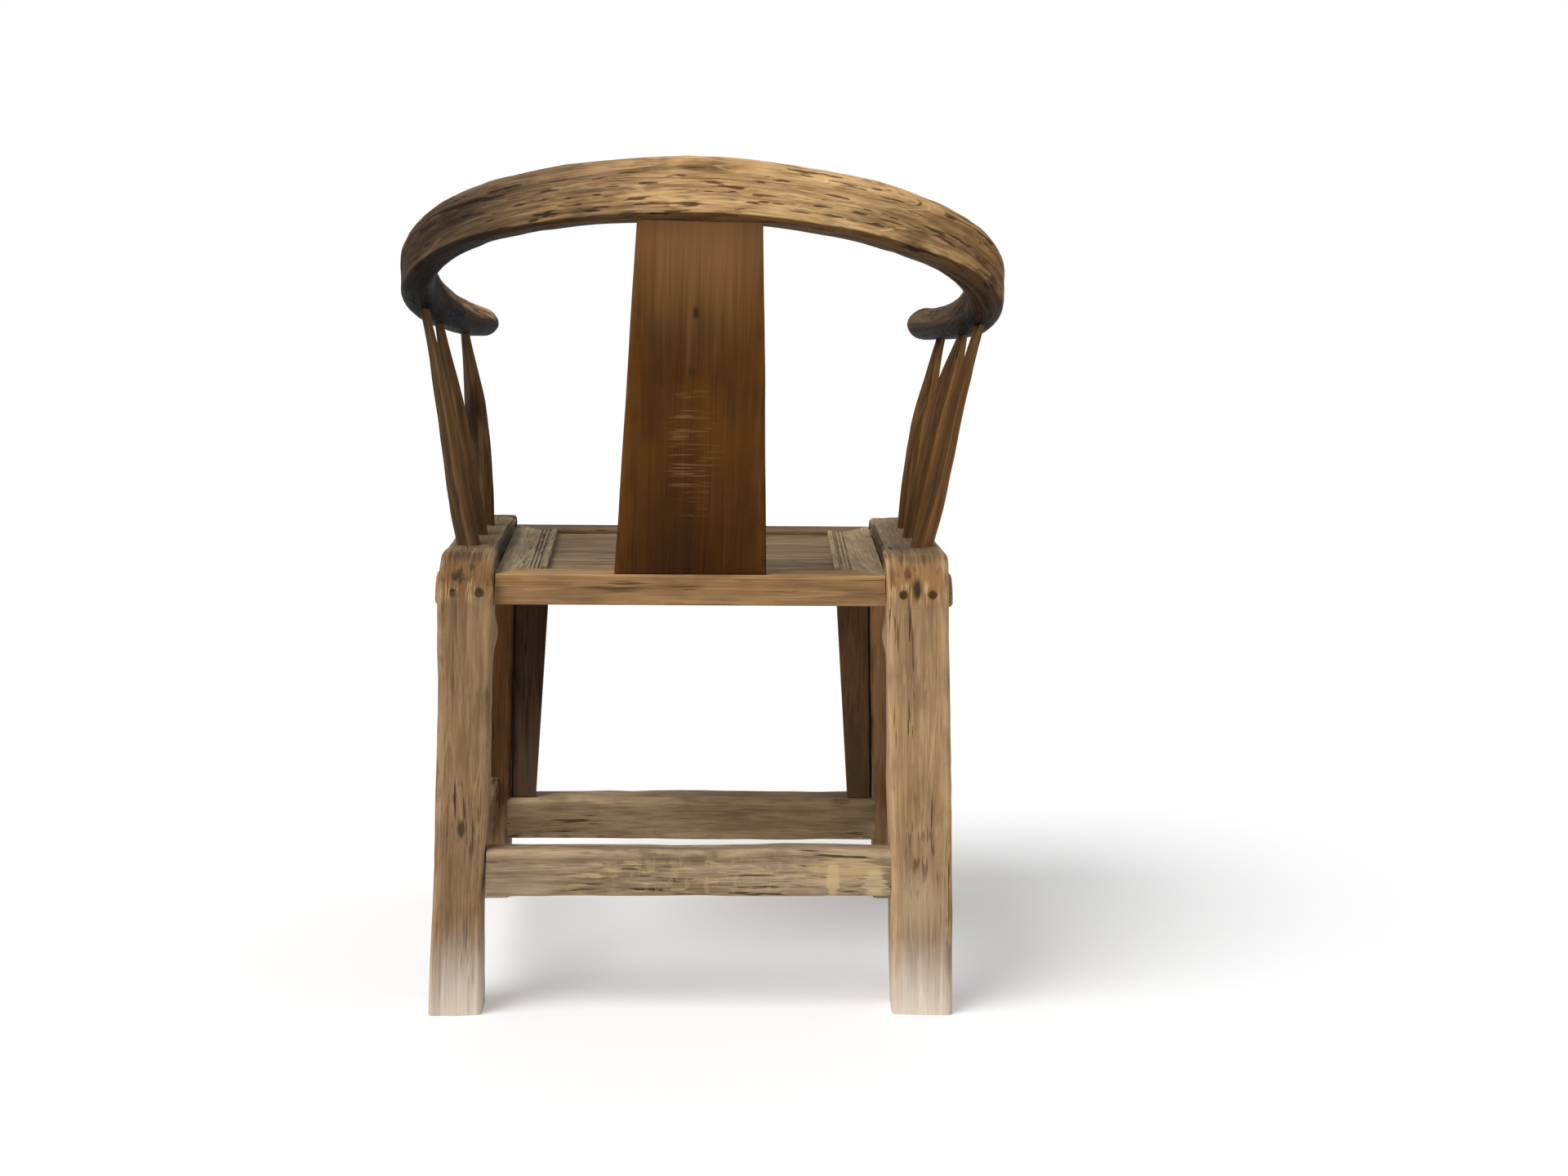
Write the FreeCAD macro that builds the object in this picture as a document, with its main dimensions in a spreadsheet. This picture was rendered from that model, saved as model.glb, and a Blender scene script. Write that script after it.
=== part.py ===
"""Horseshoe back armchair: a vernacular chair with bent side frames, a plank splat and a one-piece rail.

The chair faces -Y and stands on z = 0. x = 0 is the middle of the horseshoe rail, y = 0 the middle of
the overall depth. Each side frame is one timber, notched and bent round the ends of the seat rails.
"""

import FreeCAD, Part
import math
import os

import Sketcher

# Driving sizes, in millimetres

DRIVING_SIZES = {
    # Whole chair
    "overall_height": 913,
    "overall_depth": 576,
    "rail_overhang": 68,
    "base_shift": 12,
    "seat_top": 480,
    "fit_gap": 0.2,
    "overrun": 20,
    # Side frames
    "frame_depth": 508,
    "frame_timber": 52,
    "left_leg_width": 59,
    "right_leg_width": 68,
    "half_gap_rear": 207,
    "half_gap_front": 224,
    "leg_splay": 12.5,
    "strap": 18,
    "member_rise": 20,
    "member_fall": 5,
    "bend_radius": 48,
    "frame_chamfer": 5,
    # Seat rails
    "rail_tall": 33,
    "rear_rail_deep": 46,
    "front_rail_deep": 58,
    "end_rail_wide": 47,
    "rail_end_proud": 4,
    "rail_end_chamfer": 2.5,
    "rail_arris": 2,
    "mitre_lap": 11,
    "mitre_reach": 29,
    "end_tenon_long": 16,
    "end_tenon_tall": 10,
    "end_tenon_wide": 26,
    "reed_wide": 2.8,
    "reed_deep": 1.6,
    "reed_land": 1.6,
    # Seat panel
    "board_thick": 10,
    "panel_drop": 5,
    "tongue_thick": 5,
    "tongue_long": 7,
    "tongue_under": 2,
    "rear_board_deep": 66,
    "board_joint": 0.6,
    "bead_wide": 6,
    "bead_tall": 7,
    "bead_rounding": 1.5,
    "bead_short": 9,
    "batten_wide": 28,
    "batten_tall": 16,
    "batten_tenon": 12,
    "batten_tenon_tall": 8,
    "batten_rounding": 1.5,
    "batten_spread": 92,
    # Splat
    "splat_top_wide": 128,
    "splat_bottom_wide": 162,
    "splat_top_shift": 8,
    "splat_thick": 14,
    "splat_setback": 3,
    "splat_tenon": 11,
    "splat_shoulder": 14,
    # Crest rail
    "rail_half_width": 334.5,
    "rail_reach": 471,
    "rail_drop": 148,
    "shoulder_sag": 11.5,
    "shoulder_slim": 5.5,
    "rail_thick": 42,
    "rail_thick_tip": 38,
    "rail_deep": 61,
    "rail_deep_tip": 36,
    "rail_corner": 15,
    "rail_crown": 1.6,
    "rail_lean": 8,
    "grip_length": 24,
    # Spindles
    "spindle_wide": 27,
    "spindle_deep": 19,
    "spindle_bow": 4.5,
    "spindle_tenon_radius": 4,
    "spindle_foot_radius": 8,
    "spindle_tenon_long": 18,
    "spindle_spare": 14,
    "rear_foot_back": 114,
    "middle_foot_back": 219,
    "front_foot_back": 323,
    "rear_top_back": 196,
    "middle_top_back": 256,
    "front_top_back": 355,
    # Stretchers
    "rear_stretcher_top": 182,
    "rear_stretcher_tall": 51,
    "rear_stretcher_thick": 30,
    "rear_stretcher_inset": 4,
    "front_stretcher_top": 132,
    "front_stretcher_tall": 55,
    "front_stretcher_thick": 48,
    "front_stretcher_inset": 5,
    "side_stretcher_top": 158,
    "side_stretcher_tall": 42,
    "side_stretcher_thick": 28,
    "stretcher_rounding": 3,
    "tenon_long": 30,
    "side_tenon_long": 24,
    "tenon_thick": 12,
    "tenon_shoulder": 8,
    # Front apron
    "apron_thick": 12,
    "apron_inset": 36,
    "apron_head_tall": 48,
    "apron_top_wide": 42,
    "apron_foot_wide": 31,
    "apron_arch": 16,
    # Pegs
    "peg_radius": 4.5,
    "peg_long": 34,
    "peg_below_top": 18,
}

# Shares, chosen by hand, of the sizes above

# Each rail station: share of the half width, of the reach forward, of the drop and of the shoulders'
# difference, then how far the depth and the thickness have gone from the back's to the tip's
RAIL_STATION_SHARES = (
    (0.000, 0.000, 0.000, 0.00, 0.00, 0.0),
    (0.214, 0.016, 0.007, 0.20, 0.00, 0.0),
    (0.422, 0.054, 0.042, 0.46, 0.00, 0.1),
    (0.617, 0.115, 0.107, 0.68, 0.03, 0.4),
    (0.790, 0.199, 0.209, 0.92, 0.05, 0.8),
    (0.928, 0.308, 0.368, 1.00, 0.08, 1.0),
    (1.000, 0.440, 0.568, 0.96, 0.22, 1.0),
    (0.980, 0.581, 0.752, 0.50, 0.62, 0.6),
    (0.944, 0.722, 0.884, 0.15, 0.92, 0.5),
    (0.903, 0.860, 0.952, 0.00, 1.00, 0.7),
    (0.858, 1.000, 1.000, 0.00, 1.00, 1.0),
)
# The rail's section stops leaning back at this share of the reach forward
LEAN_END_SHARE = 0.33
# Each ring of a hand grip: share of the grip's length past the last station, and share of the section
GRIP_RING_SHARES = ((0.34, 0.93), (0.66, 0.75), (0.88, 0.48), (1.00, 0.18))
# Each spindle ring: share of the height, of the full width, of the full depth and of the inward bow
SPINDLE_RING_SHARES = {
    "rear": (
        (0.00, 0.93, 0.96, 0.00),
        (0.20, 0.90, 1.00, 0.10),
        (0.42, 0.80, 0.96, 0.20),
        (0.64, 0.62, 0.82, 0.20),
        (0.84, 0.46, 0.66, 0.10),
        (1.00, 0.36, 0.56, 0.00),
    ),
    "middle": (
        (0.00, 0.93, 0.96, 0.00),
        (0.20, 0.96, 1.00, 0.30),
        (0.42, 0.94, 1.00, 0.55),
        (0.64, 0.82, 0.86, 0.50),
        (0.84, 0.58, 0.66, 0.25),
        (1.00, 0.36, 0.56, 0.00),
    ),
    "front": (
        (0.00, 0.93, 0.96, 0.00),
        (0.20, 1.00, 1.00, 0.55),
        (0.42, 1.00, 1.00, 1.00),
        (0.64, 0.92, 0.90, 0.95),
        (0.84, 0.70, 0.72, 0.50),
        (1.00, 0.38, 0.56, 0.00),
    ),
}
# A spindle's foot stands at this share of its leg's width from the inner face
SPINDLE_FOOT_SHARES = {
    "left": {"rear": 0.56, "middle": 0.53, "front": 0.49},
    "right": {"rear": 0.61, "middle": 0.58, "front": 0.54},
}
# The pegs' distance from the middle of the leg, as a share of its width
PEG_SPREAD_SHARE = 0.23
# The crowned middle of a spindle's face stands this share of the half width and depth out
SPINDLE_CROWN_SHARE = 0.63

SIDES = {"left": 1, "right": -1}
REEDS = 3
# Whittled faces of a peg
PEG_FACES = 8
# Two places closer than this are the same place
TOUCH = 1e-3
# Steps of the halving that finds a place on the rail
HALVINGS = 40


class Length:
    """A size with its value in millimetres and the formula that yields it from the sheet."""

    def __init__(self, value, formula):
        self.value = float(value)
        self.formula = formula

    def __add__(self, other):
        return Length(self.value + value_of(other), f"({self.formula} + {formula_of(other)})")

    def __sub__(self, other):
        return Length(self.value - value_of(other), f"({self.formula} - {formula_of(other)})")

    def __mul__(self, share):
        return Length(self.value * value_of(share), f"({self.formula} * {formula_of(share)})")

    def __truediv__(self, other):
        return Length(self.value / value_of(other), f"({self.formula} / {formula_of(other)})")

    def __neg__(self):
        return Length(-self.value, f"(-1 * {self.formula})")

    __radd__ = __add__
    __rmul__ = __mul__


def value_of(item):
    """The plain number of a Length or a number."""
    return item.value if isinstance(item, Length) else float(item)


def formula_of(item):
    """The sheet formula of a Length or a number."""
    return item.formula if isinstance(item, Length) else repr(float(item))


ZERO = Length(0, "0")


class Sizes:
    """The spreadsheet of driving sizes; each alias is read as an attribute."""

    def __init__(self, document):
        self.sheet = document.addObject("Spreadsheet::Sheet", "Sizes")
        for row, (alias, value) in enumerate(DRIVING_SIZES.items(), start=1):
            self.sheet.set(f"A{row}", alias)
            self.sheet.set(f"B{row}", str(value))
            self.sheet.setAlias(f"B{row}", alias)
        document.recompute()

    def __getattr__(self, alias):
        return Length(self.sheet.get(alias), f"Sizes.{alias}")


doc = FreeCAD.newDocument("horseshoe_armchair")
S = Sizes(doc)


# Places worked out from the driving sizes

back_y = S.overall_depth / 2 - S.rail_overhang
front_y = back_y - S.frame_depth
rear_rail_back = back_y - S.strap
rear_rail_front = rear_rail_back - S.rear_rail_deep
front_rail_front = front_y + S.strap
front_rail_back = front_rail_front + S.front_rail_deep
seat_under = S.seat_top - S.rail_tall
member_top = S.seat_top + S.member_rise
flare = (S.half_gap_front - S.half_gap_rear) / S.frame_depth
splay = S.leg_splay / S.seat_top
LEG_WIDTHS = {"left": S.left_leg_width, "right": S.right_leg_width}
outer_reach = S.half_gap_front + S.left_leg_width + S.right_leg_width + S.overrun


def half_gap(y, z=None):
    """Half the clear width between the side frames, at a depth and a height."""
    gap = S.half_gap_rear + (back_y - y) * flare
    if z is not None:
        gap = gap + (S.seat_top - z) * splay
    return gap


# Helpers that make the document's objects


def add_body(label):
    """A body with its label."""
    body = doc.addObject("PartDesign::Body", "Body")
    body.Label = label
    return body


def add_sketch(body, role, level=None):
    """A sketch on one of the body's own origin planes, raised by a level along its normal."""
    sketch = body.newObject("Sketcher::SketchObject", "Sketch")
    plane = [feature for feature in body.Origin.OriginFeatures if feature.Role == role][0]
    sketch.AttachmentSupport = [(plane, "")]
    sketch.MapMode = "FlatFace"
    if level is not None:
        sketch.setExpression("AttachmentOffset.Base.z", level.formula)
    return sketch


def hold(sketch, kind, geometry, point, length):
    """Hold one point of a sketch at a distance from the sketch's origin."""
    number = sketch.addConstraint(Sketcher.Constraint(kind, -1, 1, geometry, point, length.value))
    sketch.setExpression(f"Constraints[{number}]", length.formula)


def add_outline(body, role, points, level=None):
    """A closed outline of straight lines through points, each held by its two distances."""
    sketch = add_sketch(body, role, level)
    corners = [FreeCAD.Vector(value_of(x), value_of(y), 0) for x, y in points]
    count = len(corners)
    for index in range(count):
        sketch.addGeometry(Part.LineSegment(corners[index], corners[(index + 1) % count]), False)
    for index in range(count):
        sketch.addConstraint(Sketcher.Constraint("Coincident", index, 2, (index + 1) % count, 1))
    for index, (x, y) in enumerate(points):
        hold(sketch, "DistanceX", index, 1, x)
        hold(sketch, "DistanceY", index, 1, y)
    return sketch


def add_pad(body, sketch, length, reverse=False):
    """Raise a sketch into a solid along its normal."""
    pad = body.newObject("PartDesign::Pad", "Pad")
    pad.Profile = sketch
    pad.setExpression("Length", length.formula)
    pad.Reversed = reverse
    doc.recompute()
    return pad


def add_pocket(body, sketch, length, reverse=False):
    """Cut a sketch into the body and make sure that wood was removed."""
    before = body.Shape.Volume
    pocket = body.newObject("PartDesign::Pocket", "Pocket")
    pocket.Profile = sketch
    pocket.setExpression("Length", length.formula)
    pocket.Reversed = reverse
    doc.recompute()
    if body.Shape.Volume >= before:
        raise RuntimeError(f"A pocket of {body.Label} cuts nothing")
    return pocket


def add_block(body, axis, low, high):
    """Raise a block between two corners along one axis, as part of a body."""
    if axis == "x":
        flat = (1, 2)
        sketch_level = low[0]
        role = "YZ_Plane"
        length = high[0] - low[0]
    elif axis == "y":
        flat = (0, 2)
        sketch_level = -high[1]
        role = "XZ_Plane"
        length = high[1] - low[1]
    else:
        flat = (0, 1)
        sketch_level = low[2]
        role = "XY_Plane"
        length = high[2] - low[2]
    first, second = flat
    points = (
        (low[first], low[second]),
        (high[first], low[second]),
        (high[first], high[second]),
        (low[first], high[second]),
    )
    sketch = add_outline(body, role, points, sketch_level)
    return add_pad(body, sketch, length)


def edges_where(shape, test):
    """Names of the shape's edges that pass a test."""
    return [f"Edge{number}" for number, edge in enumerate(shape.Edges, start=1) if test(edge)]


def add_fillet(body, radius, test):
    """Round the edges of the body's last feature that pass a test."""
    tip = body.Tip
    fillet = body.newObject("PartDesign::Fillet", "Fillet")
    fillet.Base = (tip, edges_where(tip.Shape, test))
    fillet.setExpression("Radius", radius.formula)
    doc.recompute()
    return fillet


def add_chamfer(body, size, test):
    """Bevel the edges of the body's last feature that pass a test."""
    tip = body.Tip
    chamfer = body.newObject("PartDesign::Chamfer", "Chamfer")
    chamfer.Base = (tip, edges_where(tip.Shape, test))
    chamfer.setExpression("Size", size.formula)
    doc.recompute()
    return chamfer


def runs_along(axis):
    """A test for straight edges parallel to an axis vector."""

    def test(edge):
        if not isinstance(edge.Curve, Part.Line):
            return False
        return abs(abs(edge.Curve.Direction.dot(axis)) - 1) < TOUCH

    return test


def add_box(label, low, high):
    """A block between two corners, given as three Lengths each."""
    block = doc.addObject("Part::Box", "Block")
    block.Label = label
    for name, start, end in zip(("Length", "Width", "Height"), low, high):
        block.setExpression(name, (end - start).formula)
    for name, start in zip("xyz", low):
        block.setExpression(f"Placement.Base.{name}", start.formula)
    return block


def add_cylinder(label, radius, height, start, direction):
    """A cylinder from a start point along a direction, both plain vectors."""
    cylinder = doc.addObject("Part::Cylinder", "Dowel")
    cylinder.Label = label
    cylinder.setExpression("Radius", radius.formula)
    cylinder.setExpression("Height", height.formula)
    turn = FreeCAD.Rotation(FreeCAD.Vector(0, 0, 1), direction)
    cylinder.Placement = FreeCAD.Placement(start, turn)
    return cylinder


def add_peg(label, radius, height, start, direction):
    """A whittled peg with flat faces from a start point along a direction, both plain vectors."""
    peg = doc.addObject("Part::Prism", "Peg")
    peg.Label = label
    peg.Polygon = PEG_FACES
    peg.setExpression("Circumradius", radius.formula)
    peg.setExpression("Height", height.formula)
    turn = FreeCAD.Rotation(FreeCAD.Vector(0, 0, 1), direction)
    peg.Placement = FreeCAD.Placement(start, turn)
    return peg


def add_cut(label, base, tools):
    """A piece with several tools taken away from it."""
    cut = doc.addObject("Part::Cut", "Cut")
    cut.Label = label
    cut.Base = base
    cut.Tool = add_fuse(f"{label} cutters", tools) if len(tools) > 1 else tools[0]
    return cut


def add_common(label, base, tool):
    """The part that two solids share."""
    common = doc.addObject("Part::Common", "Common")
    common.Label = label
    common.Base = base
    common.Tool = tool
    return common


def add_group(label, members):
    """Several solids kept as one group."""
    group = doc.addObject("Part::Compound", "Group")
    group.Label = label
    group.Links = members
    return group


def add_fuse(label, members):
    """Several solids grown into one piece."""
    fuse = doc.addObject("Part::MultiFuse", "Fuse")
    fuse.Label = label
    fuse.Shapes = members
    fuse.Refine = True
    return fuse


X_AXIS = FreeCAD.Vector(1, 0, 0)
Y_AXIS = FreeCAD.Vector(0, 1, 0)
Z_AXIS = FreeCAD.Vector(0, 0, 1)


def frame_placement(side, splayed=True):
    """Where a side frame that was drawn square stands: turned to flare forward and leaned to splay."""
    sign = SIDES[side]
    pivot = FreeCAD.Vector(
        S.base_shift.value + sign * S.half_gap_rear.value, back_y.value, S.seat_top.value
    )
    turn = FreeCAD.Rotation(Z_AXIS, math.degrees(sign * math.atan(flare.value)))
    if splayed:
        lean = FreeCAD.Rotation(Y_AXIS, math.degrees(-sign * math.atan(splay.value)))
        turn = turn.multiply(lean)
    return FreeCAD.Placement(FreeCAD.Vector(), turn, pivot)


def frame_x(side, outward):
    """A place across a side frame before it is turned, measured outward from its inner face."""
    sign = SIDES[side]
    return S.base_shift + S.half_gap_rear * sign + outward * sign


# Crest rail


def rail_points():
    """Places of the rail's middle line, from the right grip over the back to the left grip."""
    half = S.rail_half_width.value - S.rail_thick_tip.value / 2 - S.rail_crown.value
    top = S.overall_height.value - S.rail_deep.value / 2 - S.rail_crown.value
    back = S.overall_depth.value / 2 - S.rail_thick.value / 2 - S.rail_lean.value / 2
    arms = {}
    for side, sign in SIDES.items():
        sag_depth = S.shoulder_sag.value if side == "right" else 0
        arms[side] = [
            FreeCAD.Vector(
                sign * wide * half,
                back - forward * S.rail_reach.value,
                top - down * S.rail_drop.value - sag * sag_depth,
            )
            for wide, forward, down, sag, _, _ in RAIL_STATION_SHARES
        ]
    return arms["right"][:0:-1] + arms["left"]


def rail_curve():
    """The rail's middle line as one smooth curve, with the parameter of each station."""
    points = rail_points()
    curve = Part.BSplineCurve()
    curve.interpolate(points)
    return curve, [curve.parameter(point) for point in points]


def rail_section(centre, outward, up, thick, deep):
    """A hewn section: four crowned faces joined by four broad corners, drawn as sixteen facets."""
    size = deep / S.rail_deep.value
    corner = S.rail_corner.value * size
    crown = S.rail_crown.value * size
    side = thick / 2
    top = deep / 2
    flat_side = side - corner
    flat_top = top - corner
    bow = corner * math.sqrt(0.5)
    half_ring = [
        (side, flat_top),
        (flat_side + bow, flat_top + bow),
        (flat_side, top),
        (0, top + crown),
        (-flat_side, top),
        (-flat_side - bow, flat_top + bow),
        (-side, flat_top),
        (-side - crown, 0),
    ]
    ring = half_ring + [(-across, -height) for across, height in half_ring]
    places = [centre + outward * across + up * height for across, height in ring]
    return Part.makePolygon(places + places[:1])


def rail_ring(curve, parameter, station, slim=0.0, past=0.0, size=1.0):
    """One section of the rail, a distance past a station along the curve, at a size."""
    _, forward, _, difference, taper, thinning = station
    place = curve.value(parameter)
    along = curve.tangent(parameter)[0]
    along.normalize()
    outward = Z_AXIS.cross(along).normalize()
    up = along.cross(outward).normalize()
    fade = max(0, 1 - forward / LEAN_END_SHARE)
    lean = math.atan2(S.rail_lean.value * fade, S.rail_deep.value)
    across = outward * math.cos(lean) + up * math.sin(lean)
    height = up * math.cos(lean) - outward * math.sin(lean)
    thick = S.rail_thick.value + (S.rail_thick_tip.value - S.rail_thick.value) * thinning
    deep = S.rail_deep.value + (S.rail_deep_tip.value - S.rail_deep.value) * taper
    deep -= slim * difference
    return rail_section(place + along * past, across, height, thick * size, deep * size)


def rail_shape():
    """The horseshoe rail as a loft through its sections, closed by two rounded hand grips."""
    curve, parameters = rail_curve()
    last = len(RAIL_STATION_SHARES) - 1
    tip = RAIL_STATION_SHARES[last]
    grip = S.grip_length.value
    rings = [
        rail_ring(curve, parameters[0], tip, past=-past * grip, size=size)
        for past, size in reversed(GRIP_RING_SHARES)
    ]
    for index, parameter in enumerate(parameters):
        slim = S.shoulder_slim.value if index > last else 0
        rings.append(rail_ring(curve, parameter, RAIL_STATION_SHARES[abs(index - last)], slim))
    rings += [
        rail_ring(curve, parameters[-1], tip, past=past * grip, size=size)
        for past, size in GRIP_RING_SHARES
    ]
    return Part.makeLoft(rings, True, False)


def rail_place_at(side, y):
    """The point of the rail's middle line on one arm at a depth y, found by halving."""
    curve, parameters = rail_curve()
    near = parameters[len(RAIL_STATION_SHARES) - 1]
    far = parameters[-1] if side == "left" else parameters[0]
    for _ in range(HALVINGS):
        guess = (near + far) / 2
        if curve.value(guess).y > y:
            near = guess
        else:
            far = guess
    return curve.value(near)


rail_blank = doc.addObject("Part::Feature", "RailBlank")
rail_blank.Label = "bent rail timber"
rail_blank.Shape = rail_shape()
rail_blank.Placement = FreeCAD.Placement()


# Side frames


def add_frame_timber(side):
    """The bent timber of a side frame before its notches: rear leg, side member and front leg in one."""
    width = LEG_WIDTHS[side]
    inner_back = back_y - S.frame_timber
    inner_front = front_y + S.frame_timber
    under = member_top - S.frame_timber
    points = (
        (back_y, -S.overrun),
        (back_y, member_top),
        (front_y, member_top - S.member_fall),
        (front_y, -S.overrun),
        (inner_front, -S.overrun),
        (inner_front, under),
        (inner_back, under),
        (inner_back, -S.overrun),
    )
    body = add_body(f"{side} frame timber")
    sketch = add_outline(body, "YZ_Plane", points, frame_x(side, ZERO))
    add_pad(body, sketch, width, reverse=side == "right")

    def outer_corner(edge):
        return runs_along(X_AXIS)(edge) and edge.CenterOfMass.z > S.seat_top.value

    add_fillet(body, S.bend_radius, outer_corner)

    def long_edge(edge):
        across = edge.BoundBox.XLength < TOUCH
        return across and edge.CenterOfMass.z > -S.overrun.value + TOUCH

    add_chamfer(body, S.frame_chamfer, long_edge)
    body.Placement = frame_placement(side)
    return body


def add_captured_bar(label, face, deep, toward, gap, ends):
    """A rail as it passes through the corners, its outer upper edge round as the bend is."""
    body = add_body(label)
    back = face - gap * toward
    front = face + (deep + gap) * toward
    high = S.seat_top + gap
    low_y, high_y = (front, back) if toward < 0 else (back, front)
    add_block(body, "x", (ends[0], low_y, seat_under - gap), (ends[1], high_y, high))

    def bent_edge(edge):
        place = edge.CenterOfMass
        at_face = abs(place.y - back.value) < TOUCH and abs(place.z - high.value) < TOUCH
        return at_face and runs_along(X_AXIS)(edge)

    add_fillet(body, S.bend_radius - S.strap, bent_edge)
    return body


frame_timbers = {side: add_frame_timber(side) for side in SIDES}
far_ends = (-outer_reach, outer_reach)
rear_notch = add_captured_bar(
    "rear notch", rear_rail_back, S.rear_rail_deep, -1, S.fit_gap, far_ends
)
front_notch = add_captured_bar(
    "front notch", front_rail_front, S.front_rail_deep, 1, S.fit_gap, far_ends
)
floor_block = add_box(
    "floor cutter",
    (-outer_reach, front_y - S.overrun, -S.overrun * 4),
    (outer_reach, back_y + S.overrun, ZERO),
)


# Stretchers


def add_outer_slab(side):
    """The space outside a side frame's inner face, which trims what stands between the frames."""
    width = LEG_WIDTHS[side] + S.overrun * 2
    inner = frame_x(side, -S.fit_gap)
    outer = frame_x(side, width)
    low, high = (inner, outer) if side == "left" else (outer, inner)
    slab = add_box(
        f"{side} slab",
        (low, front_y - S.overrun, -S.overrun),
        (high, back_y + S.overrun, member_top + S.overrun),
    )
    doc.recompute()
    slab.Placement = frame_placement(side).multiply(slab.Placement)
    slab.setExpression("Placement.Base.x", None)
    slab.setExpression("Placement.Base.y", None)
    slab.setExpression("Placement.Base.z", None)
    return slab


outer_slabs = [add_outer_slab(side) for side in SIDES]


def add_bar(label, axis, low, high, rounding):
    """A bar along an axis between two corners, its long edges rounded."""
    body = add_body(label)
    add_block(body, axis, low, high)
    add_fillet(body, rounding, runs_along(X_AXIS if axis == "x" else Y_AXIS))
    return body


def add_cross_stretcher(label, top, tall, back, thick):
    """A stretcher between the side frames with its shoulders cut to them, and its tenons' mortises."""
    middle_y = back - thick / 2
    middle_z = top - tall / 2
    reach = half_gap(middle_y, middle_z)
    far = reach + S.overrun
    bar = add_bar(
        f"{label} bar",
        "x",
        (S.base_shift - far, back - thick, top - tall),
        (S.base_shift + far, back, top),
        S.stretcher_rounding,
    )
    shouldered = add_cut(f"{label} shoulders", bar, outer_slabs)
    parts = []
    for name, gap in (("tenon", ZERO), ("mortise", S.fit_gap)):
        half_long = reach + S.tenon_long + gap
        half_thick = S.tenon_thick / 2 + gap
        half_tall = tall / 2 - S.tenon_shoulder + gap
        parts.append(
            add_box(
                f"{label} {name}",
                (S.base_shift - half_long, middle_y - half_thick, middle_z - half_tall),
                (S.base_shift + half_long, middle_y + half_thick, middle_z + half_tall),
            )
        )
    tenon, mortise = parts
    return add_fuse(label, [shouldered, tenon]), mortise


rear_stretcher, rear_stretcher_mortise = add_cross_stretcher(
    "rear_stretcher",
    S.rear_stretcher_top,
    S.rear_stretcher_tall,
    back_y - S.rear_stretcher_inset,
    S.rear_stretcher_thick,
)
front_stretcher, front_stretcher_mortise = add_cross_stretcher(
    "front_stretcher",
    S.front_stretcher_top,
    S.front_stretcher_tall,
    front_y + S.front_stretcher_inset + S.front_stretcher_thick,
    S.front_stretcher_thick,
)


def add_side_stretcher(side):
    """A stretcher between the legs of one side frame, and the block that its mortises follow."""
    rear = back_y - S.frame_timber - S.fit_gap
    front = front_y + S.frame_timber + S.fit_gap
    low_z = S.side_stretcher_top - S.side_stretcher_tall
    middle = frame_x(side, LEG_WIDTHS[side] / 2)
    half = S.side_stretcher_thick / 2
    stretcher = add_bar(
        f"{side}_side_stretcher",
        "y",
        (middle - half, front, low_z),
        (middle + half, rear, S.side_stretcher_top),
        S.stretcher_rounding,
    )
    mortise = add_body(f"{side} side stretcher mortise")
    for body, gap in ((stretcher, ZERO), (mortise, S.fit_gap)):
        half = S.tenon_thick / 2 + gap
        long = S.side_tenon_long + gap
        shoulder = S.tenon_shoulder - gap
        add_block(
            body,
            "y",
            (middle - half, front - long, low_z + shoulder),
            (middle + half, rear + long, S.side_stretcher_top - shoulder),
        )
        body.Placement = frame_placement(side)
    return stretcher, mortise


side_stretchers = {}
side_stretcher_mortises = {}
for side in SIDES:
    side_stretchers[side], side_stretcher_mortises[side] = add_side_stretcher(side)


# Spindles

SPINDLE_BACKS = {
    "rear": (S.rear_foot_back, S.rear_top_back),
    "middle": (S.middle_foot_back, S.middle_top_back),
    "front": (S.front_foot_back, S.front_top_back),
}


def spindle_line(side, name):
    """Foot and head of a spindle's axis: on the side member's top and on the rail's middle line."""
    foot_back, top_back = SPINDLE_BACKS[name]
    sign = SIDES[side]
    foot_y = back_y - foot_back
    foot_z = member_top - S.member_fall * (foot_back / S.frame_depth)
    outward = half_gap(foot_y) + LEG_WIDTHS[side] * SPINDLE_FOOT_SHARES[side][name]
    foot = FreeCAD.Vector((S.base_shift + outward * sign).value, foot_y.value, foot_z.value)
    return foot, rail_place_at(side, (back_y - top_back).value)


def spindle_points(middle, half_wide, half_deep):
    """A whittled section: four arrises with the crowned middle of a face between each two."""
    crown_wide = half_wide * SPINDLE_CROWN_SHARE
    crown_deep = half_deep * SPINDLE_CROWN_SHARE
    half_ring = (
        (half_wide, ZERO),
        (crown_wide, crown_deep),
        (ZERO, half_deep),
        (-crown_wide, crown_deep),
    )
    return [(middle + x, y) for x, y in half_ring] + [(middle - x, -y) for x, y in half_ring]


def add_blade(side, name, free):
    """The whittled blade of a spindle along its own z axis, run a spare length past both ends."""
    body = add_body(f"{side} {name} blade")
    shares = SPINDLE_RING_SHARES[name]
    levels = [Length(free, repr(free)) * height for height, *_ in shares]
    levels[0] = levels[0] - S.spindle_spare
    levels[-1] = levels[-1] + S.spindle_spare
    rings = []
    for level, (_, wide, deep, bow) in zip(levels, shares):
        middle = S.spindle_bow * (-bow * SIDES[side])
        points = spindle_points(middle, S.spindle_wide * (wide / 2), S.spindle_deep * (deep / 2))
        rings.append(add_outline(body, "XY_Plane", points, level))
    loft = body.newObject("PartDesign::AdditiveLoft", "Blade")
    loft.Profile = rings[0]
    loft.Sections = rings[1:]
    doc.recompute()
    return body


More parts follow.
